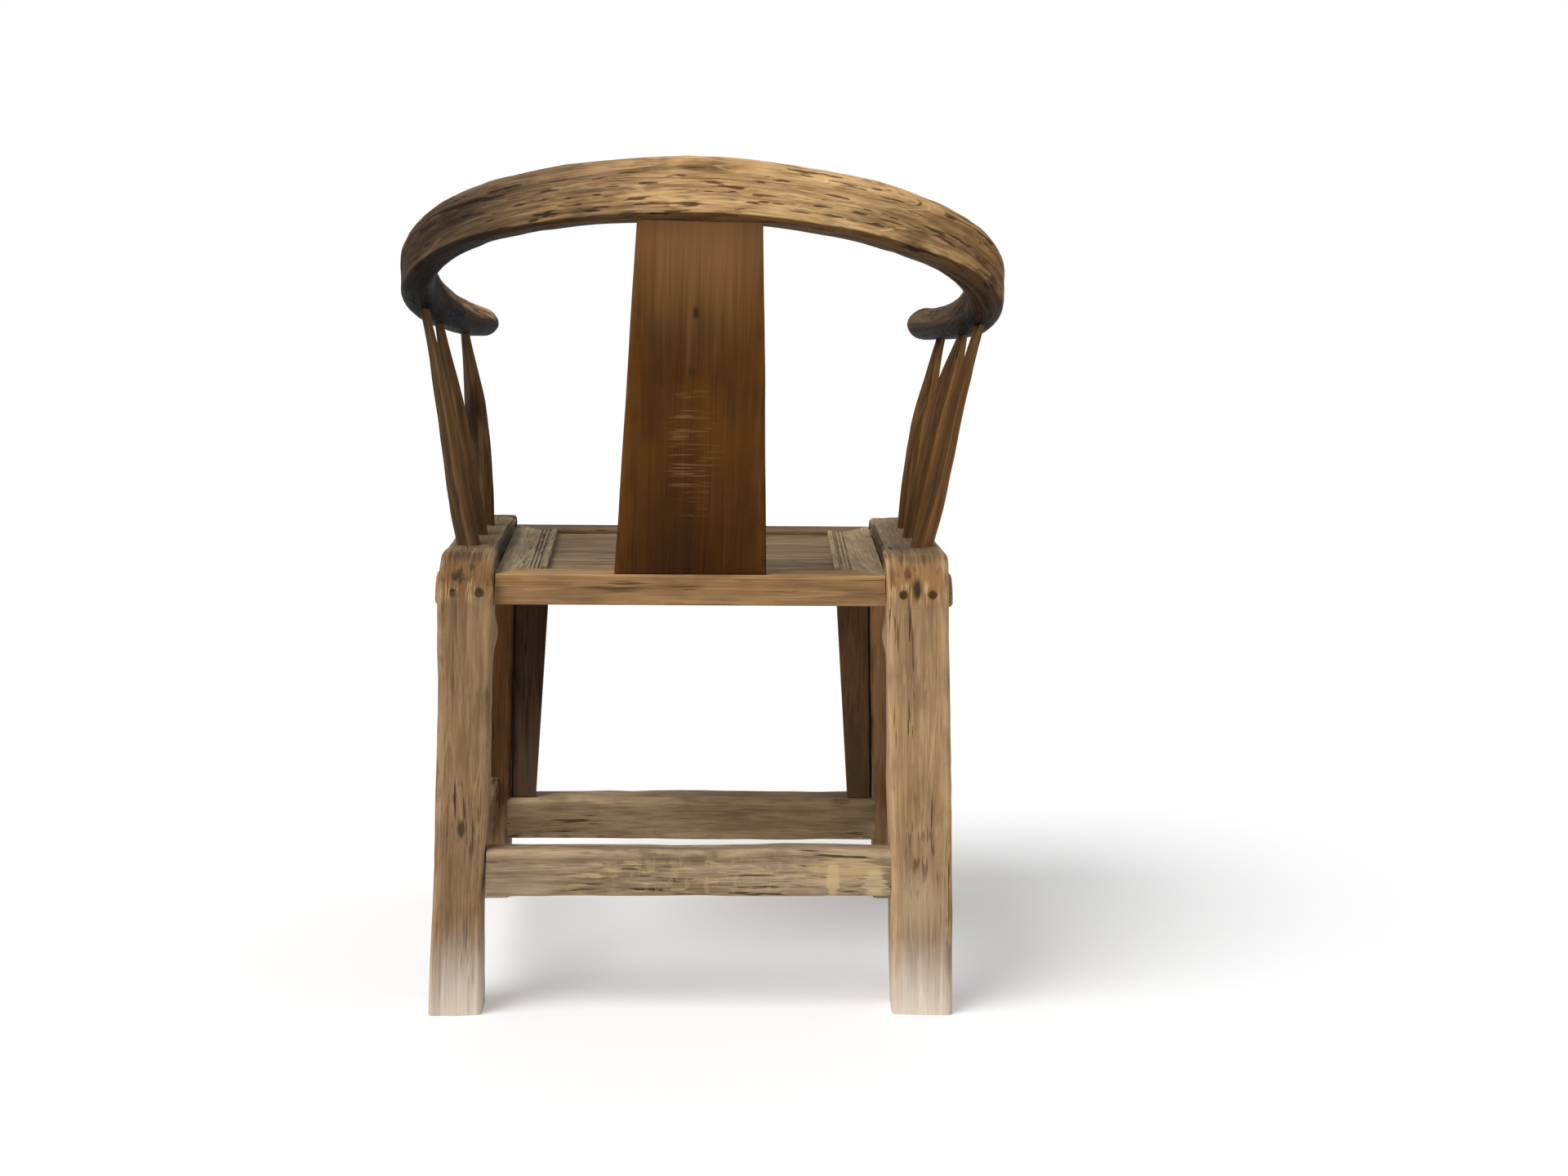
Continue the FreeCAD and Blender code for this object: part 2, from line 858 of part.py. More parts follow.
def add_spindle(side, name):
    """A spindle with its shoulders cut to the side member and the rail, and its two round mortises."""
    foot, head = spindle_line(side, name)
    direction = (head - foot).normalize()
    free = Part.makeLine(foot, head).cut(rail_blank.Shape).Length
    blade = add_blade(side, name, free)
    wide = Y_AXIS.cross(direction).normalize()
    turn = FreeCAD.Rotation(wide, direction.cross(wide), direction, "ZXY")
    blade.Placement = FreeCAD.Placement(foot, turn)
    label = f"{side}_{name}_spindle"
    trimmed = add_cut(f"{label} shoulders", blade, [rail_blank, frame_timbers[side]])
    tenons = []
    mortises = []
    long = S.spindle_tenon_long
    for end, radius, start, heading in (
        ("foot", S.spindle_foot_radius, foot, -direction),
        ("head", S.spindle_tenon_radius, foot + direction * free, direction),
    ):
        inside = start - heading * long.value
        tenons.append(add_cylinder(f"{label} {end}", radius, long * 2, inside, heading))
        mortises.append(
            add_cylinder(f"{label} {end} hole", radius + S.fit_gap, long * 2 + S.fit_gap, inside, heading)
        )
    return add_fuse(label, [trimmed] + tenons), mortises


spindles = []
foot_holes = {side: [] for side in SIDES}
head_holes = []
for side in SIDES:
    for name in SPINDLE_BACKS:
        spindle, (foot_hole, head_hole) = add_spindle(side, name)
        spindles.append(spindle)
        foot_holes[side].append(foot_hole)
        head_holes.append(head_hole)


# Splat

splat_rise = S.overall_height - S.rail_deep - S.seat_top
splat_foot_back = S.rail_overhang + S.strap + S.splat_setback + S.splat_thick / 2
splat_lean = splat_foot_back - (S.rail_thick + S.rail_lean) / 2


def splat_placement():
    """The splat leans back over its rise; its rear lower edge stands near the rail's rear face."""
    angle = -math.degrees(math.atan2(splat_lean.value, splat_rise.value))
    base = FreeCAD.Vector(
        S.base_shift.value, (rear_rail_back - S.splat_setback).value, S.seat_top.value
    )
    return FreeCAD.Placement(base, FreeCAD.Rotation(X_AXIS, angle))


def splat_points(margin, low, high):
    """Corners of the plank between two heights along it, narrowed by a margin on each side."""
    slope_wide = (S.splat_bottom_wide - S.splat_top_wide) / (splat_rise * 2)
    slope_middle = S.splat_top_shift / splat_rise

    def corner(sign, height):
        half = S.splat_bottom_wide / 2 - margin - height * slope_wide
        return half * sign - height * slope_middle, height

    return corner(-1, low), corner(1, low), corner(1, high), corner(-1, high)


def add_plank(label, margin, low, high, thick, inset):
    """A leaning plank cut to the splat's taper."""
    body = add_body(label)
    sketch = add_outline(body, "XZ_Plane", splat_points(margin, low, high), inset)
    add_pad(body, sketch, thick)
    body.Placement = splat_placement()
    return body


def add_splat():
    """The splat with its shoulders cut to both rails, and its mortises."""
    spare = S.overrun
    plank_top = splat_rise + S.rail_deep / 2
    plank = add_plank("splat plank", ZERO, -spare, plank_top, S.splat_thick, ZERO)
    seat_block = add_box(
        "splat foot cutter",
        (-outer_reach, front_y, ZERO),
        (outer_reach, back_y + S.rail_overhang, S.seat_top),
    )
    trimmed = add_cut("splat shoulders", plank, [rail_blank, seat_block])
    long = S.splat_tenon
    tongue = S.splat_thick / 2
    inset = S.splat_thick / 4
    ends = (("foot", -long, spare), ("head", splat_rise - spare * 2, splat_rise + long))
    tenons = []
    mortises = []
    for end, low, high in ends:
        tenons.append(add_plank(f"splat {end} tenon", S.splat_shoulder, low, high, tongue, inset))
        gap = S.fit_gap
        mortises.append(
            add_plank(
                f"splat {end} mortise",
                S.splat_shoulder - gap,
                low - gap,
                high + gap,
                tongue + gap * 2,
                inset - gap,
            )
        )
    return add_fuse("splat", [trimmed] + tenons), mortises


splat, (splat_foot_mortise, splat_head_mortise) = add_splat()
crest_rail = add_cut("crest_rail", rail_blank, head_holes + [splat_head_mortise])


# Pegs


def add_pegs(label, face, heading):
    """The pegs of the two rear or the two front corners as one group, and their holes."""
    start_y = face.value
    pegs = []
    holes = {}
    for side, sign in SIDES.items():
        middle = half_gap(face) + LEG_WIDTHS[side] / 2
        holes[side] = []
        for spread in (-PEG_SPREAD_SHARE, PEG_SPREAD_SHARE):
            outward = middle + LEG_WIDTHS[side] * spread
            x = (S.base_shift + outward * sign).value
            start = FreeCAD.Vector(x, start_y, (S.seat_top - S.peg_below_top).value)
            name = f"{label} {side}"
            radius = S.peg_radius
            long = S.peg_long
            gap = S.fit_gap
            pegs.append(add_peg(f"{name} peg", radius, long, start, heading))
            holes[side].append(add_peg(f"{name} hole", radius + gap, long + gap, start, heading))
    return add_group(label, pegs), holes


rear_pegs, rear_peg_holes = add_pegs("rear_corner_pegs", back_y, -Y_AXIS)
front_pegs, front_peg_holes = add_pegs("front_corner_pegs", front_y, Y_AXIS)

side_frames = [
    add_cut(
        f"{side}_side_frame",
        frame_timbers[side],
        [
            floor_block,
            rear_notch,
            front_notch,
            rear_stretcher_mortise,
            front_stretcher_mortise,
            side_stretcher_mortises[side],
        ]
        + foot_holes[side]
        + rear_peg_holes[side]
        + front_peg_holes[side],
    )
    for side in SIDES
]


# Seat

panel_top = S.seat_top - S.panel_drop
panel_low = panel_top - S.board_thick
tongue_low = panel_low + S.tongue_under
tongue_high = tongue_low + S.tongue_thick
lap_low = S.seat_top - S.mitre_lap
end_rail_rear = rear_rail_front - S.fit_gap
end_rail_front = front_rail_back + S.fit_gap
batten_middle = panel_low - S.batten_tall / 2


def side_x(side, y, inward):
    """A place beside a side frame at a depth y, measured inward from the frame's inner face."""
    return S.base_shift + (half_gap(y) - inward) * SIDES[side]


def strip_points(side, rear, front, outer, inner):
    """A strip along a side frame between two depths, its edges measured inward from the frame."""
    return (
        (side_x(side, rear, outer), rear),
        (side_x(side, rear, inner), rear),
        (side_x(side, front, inner), front),
        (side_x(side, front, outer), front),
    )


def end_tenon_block(side, shoulder, toward, gap):
    """Corners of an end rail's tenon; it starts inside the end rail and runs past its shoulder."""
    middle = side_x(side, shoulder, S.end_rail_wide / 2)
    half = S.end_tenon_wide / 2 + gap
    height = (seat_under + lap_low) / 2
    half_tall = S.end_tenon_tall / 2 + gap
    inside = shoulder - S.end_tenon_long * toward
    tip = shoulder + (S.end_tenon_long + gap) * toward
    low_y, high_y = (inside, tip) if toward > 0 else (tip, inside)
    return (middle - half, low_y, height - half_tall), (middle + half, high_y, height + half_tall)


def lap_points(side, face, shoulder):
    """The mitred lap with which an end rail runs over a long rail as far as its outer face."""
    return (
        (side_x(side, shoulder, S.fit_gap), shoulder),
        (side_x(side, face, S.fit_gap), face),
        (side_x(side, shoulder, S.mitre_reach), shoulder),
    )


def lap_housing_points(side, face, shoulder, toward):
    """The housing of such a lap: a little wider, and open toward the end rail and the frame."""
    outer = -S.overrun
    inner = S.mitre_reach + S.fit_gap * 2
    tip = shoulder + (inner - outer) * ((face - shoulder) / S.mitre_reach)
    open_end = shoulder - S.overrun * toward
    return (
        (side_x(side, open_end, outer), open_end),
        (side_x(side, tip, outer), tip),
        (side_x(side, shoulder, inner), shoulder),
        (side_x(side, open_end, inner), open_end),
    )


def add_end_rail(side):
    """A short seat rail: mitred laps over both long rails, tenons, a panel groove and reeds."""
    body = add_body(f"{side}_end_rail")
    outline = strip_points(side, end_rail_rear, end_rail_front, S.fit_gap, S.end_rail_wide)
    add_pad(body, add_outline(body, "XY_Plane", outline, seat_under), S.rail_tall)
    for face, shoulder, toward in (
        (rear_rail_back, end_rail_rear, 1),
        (front_rail_front, end_rail_front, -1),
    ):
        lap = add_outline(body, "XY_Plane", lap_points(side, face, shoulder), lap_low)
        add_pad(body, lap, S.mitre_lap)
        add_block(body, "z", *end_tenon_block(side, shoulder, toward, ZERO))
    groove = strip_points(
        side,
        end_rail_rear,
        end_rail_front,
        S.end_rail_wide - S.tongue_long - S.fit_gap,
        S.end_rail_wide + S.fit_gap,
    )
    sketch = add_outline(body, "XY_Plane", groove, tongue_high + S.fit_gap)
    add_pocket(body, sketch, S.tongue_thick + S.fit_gap * 2)
    for reed in range(REEDS):
        inner = S.end_rail_wide - S.reed_land - (S.reed_wide + S.reed_land) * reed
        points = strip_points(side, end_rail_rear, end_rail_front, inner - S.reed_wide, inner)
        add_pocket(body, add_outline(body, "XY_Plane", points, S.seat_top), S.reed_deep)
    return body


def add_seat_rail(label, face, deep, toward, peg_holes, mortises):
    """A long seat rail: square between the frames, rounded where the bent corners hold its ends."""
    inner_face = face + deep * toward
    middle_y = face + deep / 2 * toward
    ends = [
        S.base_shift + (half_gap(middle_y) + LEG_WIDTHS[side] + S.rail_end_proud) * SIDES[side]
        for side in ("right", "left")
    ]
    low_y, high_y = (inner_face, face) if toward < 0 else (face, inner_face)
    low = (ends[0], low_y, seat_under)
    high = (ends[1], high_y, S.seat_top)
    middle = add_bar(f"{label} middle", "x", low, high, S.rail_arris)
    groove = add_body(f"{label} groove")
    groove_far = inner_face - (S.tongue_long + S.fit_gap) * toward
    groove_open = inner_face + S.overrun * toward
    points = [
        (side_x(side, y, S.end_rail_wide - S.tongue_long), y)
        for side, y in (
            ("right", groove_open),
            ("left", groove_open),
            ("left", groove_far),
            ("right", groove_far),
        )
    ]
    sketch = add_outline(groove, "XY_Plane", points, tongue_low - S.fit_gap)
    add_pad(groove, sketch, S.tongue_thick + S.fit_gap * 2)
    cutters = outer_slabs + mortises + [groove]
    for side, sign in SIDES.items():
        lap = add_body(f"{label} {side} lap housing")
        points = lap_housing_points(side, face, inner_face, -toward)
        sketch = add_outline(lap, "XY_Plane", points, lap_low - S.fit_gap)
        add_pad(lap, sketch, S.mitre_lap + S.overrun)
        tenon = end_tenon_block(side, inner_face, -toward, S.fit_gap)
        batten = batten_block(sign, S.batten_tenon + S.fit_gap, S.batten_tenon_tall, S.fit_gap)
        cutters += [
            lap,
            add_box(f"{label} {side} tenon mortise", *tenon),
            add_box(f"{label} {side} batten mortise", *batten),
        ]
    span = add_cut(f"{label} span", middle, cutters)
    neck = add_captured_bar(f"{label} neck", face, deep, toward, ZERO, ends)

    def end_edge(edge):
        return edge.BoundBox.XLength < TOUCH

    add_chamfer(neck, S.rail_end_chamfer, end_edge)
    necks = add_common(f"{label} necks", neck, add_fuse(f"{label} neck limits", outer_slabs))
    return add_cut(label, add_fuse(f"{label} bar", [span, necks]), peg_holes)


def batten_block(sign, past, tall, gap):
    """Corners of a batten or of its tenons: a block that runs past both long rails' inner faces."""
    middle = S.base_shift + S.batten_spread * sign
    half = S.batten_wide / 2 + gap
    half_tall = tall / 2 + gap
    low = (middle - half, front_rail_back - past, batten_middle - half_tall)
    high = (middle + half, rear_rail_front + past, batten_middle + half_tall)
    return low, high


def add_batten(side):
    """A batten under the panel, tenoned into both long rails."""
    sign = SIDES[side]
    low, high = batten_block(sign, -S.fit_gap, S.batten_tall - S.fit_gap * 2, ZERO)
    batten = add_bar(f"{side}_seat_batten", "y", low, high, S.batten_rounding)
    add_block(batten, "y", *batten_block(sign, S.batten_tenon, S.batten_tenon_tall, ZERO))
    return batten


def add_board(label, rear, front, rear_tongue, front_tongue):
    """A seat board: the panel between the rails, and a thinner tongue that runs into their grooves."""
    body = add_body(label)
    layers = (
        (S.end_rail_wide + S.fit_gap, rear, front, panel_low, S.board_thick),
        (
            S.end_rail_wide + S.fit_gap - S.tongue_long,
            rear + rear_tongue,
            front - front_tongue,
            tongue_low,
            S.tongue_thick,
        ),
    )
    for inward, back, fore, level, thick in layers:
        points = (
            (side_x("right", back, inward), back),
            (side_x("left", back, inward), back),
            (side_x("left", fore, inward), fore),
            (side_x("right", fore, inward), fore),
        )
        add_pad(body, add_outline(body, "XY_Plane", points, level), thick)
    return body


def add_bead(side):
    """A loose bead strip on the panel beside an end rail; it stops short of both long rails."""
    body = add_body(f"{side}_panel_bead")
    points = strip_points(
        side,
        rear_rail_front - S.bead_short,
        front_rail_back + S.bead_short,
        S.end_rail_wide + S.fit_gap,
        S.end_rail_wide + S.fit_gap + S.bead_wide,
    )
    add_pad(body, add_outline(body, "XY_Plane", points, panel_top), S.bead_tall)
    top = (panel_top + S.bead_tall).value

    def upper_long_edge(edge):
        return edge.BoundBox.ZMin > top - TOUCH and edge.BoundBox.YLength > S.bead_wide.value * 2

    add_fillet(body, S.bead_rounding, upper_long_edge)
    return body


all_rear_holes = rear_peg_holes["left"] + rear_peg_holes["right"]
all_front_holes = front_peg_holes["left"] + front_peg_holes["right"]
board_joint_y = rear_rail_front - S.rear_board_deep
seat_pieces = [
    add_seat_rail(
        "rear_seat_rail",
        rear_rail_back,
        S.rear_rail_deep,
        -1,
        all_rear_holes,
        [splat_foot_mortise],
    ),
    add_seat_rail(
        "front_seat_rail", front_rail_front, S.front_rail_deep, 1, all_front_holes, []
    ),
    add_board(
        "seat_rear_board", end_rail_rear, board_joint_y + S.board_joint / 2, S.tongue_long, ZERO
    ),
    add_board(
        "seat_front_board", board_joint_y - S.board_joint / 2, end_rail_front, ZERO, S.tongue_long
    ),
]
for side in SIDES:
    seat_pieces += [add_end_rail(side), add_bead(side), add_batten(side)]


# Front apron

apron_back = front_y + S.apron_inset + S.apron_thick
apron_top = seat_under - S.fit_gap
apron_head_low = apron_top - S.apron_head_tall
apron_foot = S.front_stretcher_top + S.fit_gap


def apron_x(side, z, inward):
    """A place in the front opening at a height, measured inward from the front leg."""
    return S.base_shift + (half_gap(apron_back, z) - S.fit_gap - inward) * SIDES[side]


def add_apron_board(label, points):
    """One board of the apron from its outline seen from the front."""
    body = add_body(label)
    add_pad(body, add_outline(body, "XZ_Plane", points, -apron_back), S.apron_thick)
    return body


def add_side_apron(side):
    """An upright apron board that narrows toward the footrest."""
    head = apron_head_low - S.fit_gap
    return add_apron_board(
        f"{side}_front_apron",
        (
            (apron_x(side, apron_foot, ZERO), apron_foot),
            (apron_x(side, apron_foot, S.apron_foot_wide), apron_foot),
            (apron_x(side, head, S.apron_top_wide), head),
            (apron_x(side, head, ZERO), head),
        ),
    )


def add_apron_head():
    """The apron board under the front seat rail, its lower corners arched toward the uprights."""
    low = apron_head_low
    arch = low + S.apron_arch
    half_row = [
        (apron_top, ZERO),
        (low, ZERO),
        (low, S.apron_top_wide),
        (arch, S.apron_top_wide + S.apron_arch),
    ]
    left = [(apron_x("left", z, inward), z) for z, inward in half_row]
    right = [(apron_x("right", z, inward), z) for z, inward in reversed(half_row)]
    body = add_apron_board("front_apron_head", left + right)

    def arch_corner(edge):
        inside = abs(edge.CenterOfMass.x - S.base_shift.value) < S.half_gap_rear.value
        return runs_along(Y_AXIS)(edge) and inside and edge.CenterOfMass.z > low.value + TOUCH

    add_fillet(body, S.apron_arch, arch_corner)
    return body


aprons = [add_apron_head()] + [add_side_apron(side) for side in SIDES]


# Check every object and write the pieces

doc.recompute()
pieces = (
    side_frames
    + seat_pieces
    + [splat, crest_rail]
    + spindles
    + [rear_stretcher, front_stretcher]
    + list(side_stretchers.values())
    + aprons
    + [rear_pegs, front_pegs]
)

for item in doc.Objects:
    if "Invalid" in item.State or "Error" in item.State:
        raise RuntimeError(f"{item.Label} did not build: {item.State}")

os.makedirs("parts", exist_ok=True)
for piece in pieces:
    shape = piece.Shape
    if shape.isNull() or not shape.isValid() or not shape.Solids:
        raise RuntimeError(f"{piece.Label} has no sound shape")
    shape.exportStep(f"parts/{piece.Label}.step")
    box = shape.BoundBox
    print(
        f"{piece.Label}: {len(shape.Solids)} solid, {shape.Volume / 1000:.1f} cm3, "
        f"x {box.XMin:.0f}..{box.XMax:.0f}, y {box.YMin:.0f}..{box.YMax:.0f}, "
        f"z {box.ZMin:.0f}..{box.ZMax:.0f}"
    )
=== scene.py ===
"""Looks of a horseshoe back armchair: hewn timbers, whittled spindles, worn finishes, camera and light."""

import logging
import math
from dataclasses import dataclass, replace
from enum import Enum

import bpy
import numpy as np
from mathutils import Matrix, Vector


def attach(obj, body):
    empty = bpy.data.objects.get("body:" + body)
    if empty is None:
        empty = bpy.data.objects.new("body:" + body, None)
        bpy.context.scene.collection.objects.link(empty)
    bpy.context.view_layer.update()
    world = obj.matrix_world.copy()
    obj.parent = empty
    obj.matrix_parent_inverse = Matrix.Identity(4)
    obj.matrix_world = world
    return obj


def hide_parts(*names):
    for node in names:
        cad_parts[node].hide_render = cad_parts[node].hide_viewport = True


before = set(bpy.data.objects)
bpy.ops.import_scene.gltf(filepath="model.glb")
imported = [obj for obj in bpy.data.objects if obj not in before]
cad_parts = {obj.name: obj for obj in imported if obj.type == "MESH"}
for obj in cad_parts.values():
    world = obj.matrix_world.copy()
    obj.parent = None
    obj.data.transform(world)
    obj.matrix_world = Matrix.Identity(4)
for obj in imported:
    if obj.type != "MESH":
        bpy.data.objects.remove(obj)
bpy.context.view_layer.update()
LOG = logging.getLogger("horseshoe_armchair")

Array = np.ndarray
Triple = tuple[float, float, float]
Colour = Triple


class Side(Enum):
    """The two sides of the chair, as the sitter has them."""

    LEFT = 1
    RIGHT = -1

    @property
    def word(self) -> str:
        """The side as it stands in the nodes' names."""
        return self.name.lower()


class Grain(Enum):
    """The way the grain of a sawn piece runs, as the turn that lays it along the pattern's x axis."""

    ALONG_X = (0.0, 0.0, 0.0)
    ALONG_Y = (0.0, 0.0, -math.pi / 2)
    ALONG_Z = (0.0, math.pi / 2, 0.0)


# Numbers in fields of points


def soft_noise(points: Array, seed: int) -> Array:
    """Smooth value noise in space.

    Formula: random values from -1 to 1 stand on the corners of unit cubes, and a point takes their
    blend, with weights 3t^2 - 2t^3 along each axis.

    Args:
        points: places in cube edges, with x, y and z on the last axis.
        seed: picks the pattern.

    Returns:
        One value for each place.
    """
    table = np.random.default_rng(seed).uniform(-1.0, 1.0, (32, 32, 32))
    base = np.floor(points).astype(int)
    blend = points - base
    blend = blend * blend * (3.0 - 2.0 * blend)
    total = np.zeros(points.shape[:-1])
    for corner in range(8):
        step = np.array([corner & 1, corner >> 1 & 1, corner >> 2 & 1])
        weight = np.where(step == 1, blend, 1.0 - blend).prod(axis=-1)
        spot = (base + step) % 32
        total += weight * table[spot[..., 0], spot[..., 1], spot[..., 2]]
    return total


def wander(way: Array, step: float, seed: int, row: tuple[float, float] = (0.0, 0.0)) -> Array:
    """Smooth noise along a line, with a lump to each step; row picks the line in the noise."""
    return soft_noise(np.column_stack([way / step, np.tile(row, (len(way), 1))]), seed)


def smooth_step(low: float, high: float, value: Array) -> Array:
    """Runs softly from 0 at low to 1 at high: 3t^2 - 2t^3 of the share between them."""
    share = np.clip((value - low) / (high - low), 0.0, 1.0)
    return share * share * (3.0 - 2.0 * share)


def swell(middle: float, reach: float, value: Array) -> Array:
    """A soft hump: (1 - t^2)^2 for the distance t from the middle, in reaches."""
    return np.clip(1.0 - ((value - middle) / reach) ** 2, 0.0, 1.0) ** 2


def natural_spline(table: Array, count: int) -> Array:
    """A curve through points with no bend at its ends, sampled evenly in chord length.

    Formula: on each span the curve is the cubic whose second derivatives at the two points solve the
    usual three-term system; the parameter is the summed chord of the first three columns.

    Args:
        table: places to pass in three columns, and further values to carry along in the others.
        count: number of samples.

    Returns:
        The samples, count rows with the table's columns.
    """
    chord = np.linalg.norm(np.diff(table[:, :3], axis=0), axis=1)
    knots = np.concatenate([[0.0], np.cumsum(chord)])
    size = len(table)
    system = np.eye(size)
    right = np.zeros_like(table)
    slopes = np.diff(table, axis=0) / chord[:, None]
    for row in range(1, size - 1):
        system[row, row - 1 : row + 2] = chord[row - 1], 2 * (chord[row - 1] + chord[row]), chord[row]
        right[row] = 6 * (slopes[row] - slopes[row - 1])
    second = np.linalg.solve(system, right)
    where = np.linspace(0.0, knots[-1], count)
    span = np.clip(np.searchsorted(knots, where, side="right") - 1, 0, size - 2)
    width = chord[span][:, None]
    after = (where - knots[span])[:, None]
    before = width - after
    return (
        second[span] * before**3 / (6 * width)
        + second[span + 1] * after**3 / (6 * width)
        + (table[span] / width - second[span] * width / 6) * before
        + (table[span + 1] / width - second[span + 1] * width / 6) * after
    )


@dataclass(frozen=True)
class Hewing:
    """Marks of tools and wear, as layers of smooth noise in the straight timber.

    Attributes:
        layers: for each the pattern's length along and across the grain, its depth, all in metres,
            and its seed.
    """

    layers: tuple[tuple[float, float, float, int], ...]

    def depth(self, grain: Array) -> Array:
        """How deep each place lies: the sum of the layers, each between minus and plus its depth."""
        total = np.zeros(grain.shape[:-1])
        for long, wide, deep, seed in self.layers:
            total += deep * soft_noise(grain / (long, wide, wide), seed)
        return total


@dataclass(frozen=True)
class Outline:
    """A rounded rectangle's coefficients.

    Formula: a point is (A (a - r) + B r, C (b - r) + D r) for half sides a and b and corner radius r.
    On a corner A and C are the corner's signs, and B and D the cosine and sine of the angle; along an
    edge all four run straight from one corner's end to the next one's start, and so does r.

    Attributes:
        corner_steps: spans on each quarter circle.
        edge_steps: spans on each straight edge.
    """

    corner_steps: int
    edge_steps: int

    def coefficients(self) -> Array:
        """A, B, C, D, a mark that is 1 on the corners and 0 between them, and the corners' weights."""
        rows: list[Array] = []
        signs = ((1, 1), (-1, 1), (-1, -1), (1, -1))
        angles = np.linspace(0.0, math.pi / 2, self.corner_steps + 1)
        share = (np.arange(1, self.edge_steps) / self.edge_steps)[:, None]
        for index, (across, up) in enumerate(signs):
            turn = angles + index * math.pi / 2
            ones = np.ones_like(turn)
            here = np.eye(4)[index]
            there = np.eye(4)[(index + 1) % 4]
            arc = np.stack([across * ones, np.cos(turn), up * ones, np.sin(turn), ones], axis=1)
            arc = np.concatenate([arc, np.repeat(here[None], len(turn), axis=0)], axis=1)
            next_across, next_up = signs[(index + 1) % 4]
            end = np.array([next_across, arc[-1, 1], next_up, arc[-1, 3], 1.0, *there])
            edge = arc[-1] + (end - arc[-1]) * share
            edge[:, 4] = np.abs(2 * share[:, 0] - 1) ** 6
            rows += [arc, edge]
        return np.concatenate(rows)


# Meshes


def add_object(name: str, data: bpy.types.ID) -> bpy.types.Object:
    """Link new data to the scene as an object at the origin."""
    piece = bpy.data.objects.new(name, data)
    bpy.context.scene.collection.objects.link(piece)
    return piece


@dataclass
class Skin:
    """A closed surface made of rings, with its straight timber places and its worn edges.

    Attributes:
        rings: places, rings by points by 3.
        grain: the same places in the straight timber before bending: along, across and through it.
        worn: how worn each place is, from 0 to 1.
    """

    rings: Array
    grain: Array
    worn: Array

    def close(self, steps: int = 3) -> None:
        """Add rings on both ends that shrink to the middle: centre + share (ring - centre)."""
        shares = np.linspace(1.0, 0.0, steps + 2)[1:-1][:, None, None]

        def shrink(ring: Array) -> Array:
            """The added rings at one end."""
            centre = ring.mean(axis=0)
            return centre + shares * (ring - centre)

        def closed(field: Array) -> Array:
            """A field with its added rings at both ends."""
            return np.concatenate([shrink(field[0])[::-1], field, shrink(field[-1])])

        self.rings, self.grain = closed(self.rings), closed(self.grain)
        self.worn = np.pad(self.worn, ((steps, steps), (0, 0)))

    def faces(self) -> list[list[int]]:
        """Quads between the rings and a fan of triangles to each end's middle, all facing outward."""
        count, girth = self.rings.shape[:2]
        index = np.arange(count * girth).reshape(count, girth)
        after = np.roll(index, -1, axis=1)
        quads = np.stack([index[:-1], after[:-1], after[1:], index[1:]], axis=-1).reshape(-1, 4)
        first = np.stack([after[0], index[0], np.full(girth, count * girth)], axis=-1)
        last = np.stack([index[-1], after[-1], np.full(girth, count * girth + 1)], axis=-1)
        corners = self.rings.reshape(-1, 3)[quads]
        middles = (self.rings[:-1].mean(axis=1) + self.rings[1:].mean(axis=1)) / 2
        outward = corners.mean(axis=1) - np.repeat(middles, girth, axis=0)
        normal = np.cross(corners[:, 2] - corners[:, 0], corners[:, 3] - corners[:, 1])
        if (normal * outward).sum() < 0:
            quads, first, last = quads[:, ::-1], first[:, ::-1], last[:, ::-1]
        return quads.tolist() + first.tolist() + last.tolist()

    def build(self, name: str) -> bpy.types.Object:
        """Make the mesh with its attributes.

        Args:
            name: name of the new object.

        Returns:
            The object, at the origin.
        """
        poles = [
            np.concatenate([field.reshape(-1, 3), field[0].mean(axis=0)[None], field[-1].mean(axis=0)[None]])
            for field in (self.rings, self.grain)
        ]
        worn = np.concatenate([self.worn.reshape(-1), [0.0, 0.0]])
        mesh = bpy.data.meshes.new(name)
        mesh.from_pydata(poles[0].tolist(), [], self.faces())
        attribute = mesh.attributes.new("grain", "FLOAT_VECTOR", "POINT")
        attribute.data.foreach_set("vector", poles[1].ravel().astype(np.float32))
        attribute = mesh.attributes.new("worn", "FLOAT", "POINT")
        attribute.data.foreach_set("value", worn.astype(np.float32))
        mesh.polygons.foreach_set("use_smooth", np.ones(len(mesh.polygons), dtype=bool))
        mesh.set_sharp_from_angle(angle=math.radians(55.0))
        mesh.update()
        return add_object(name, mesh)


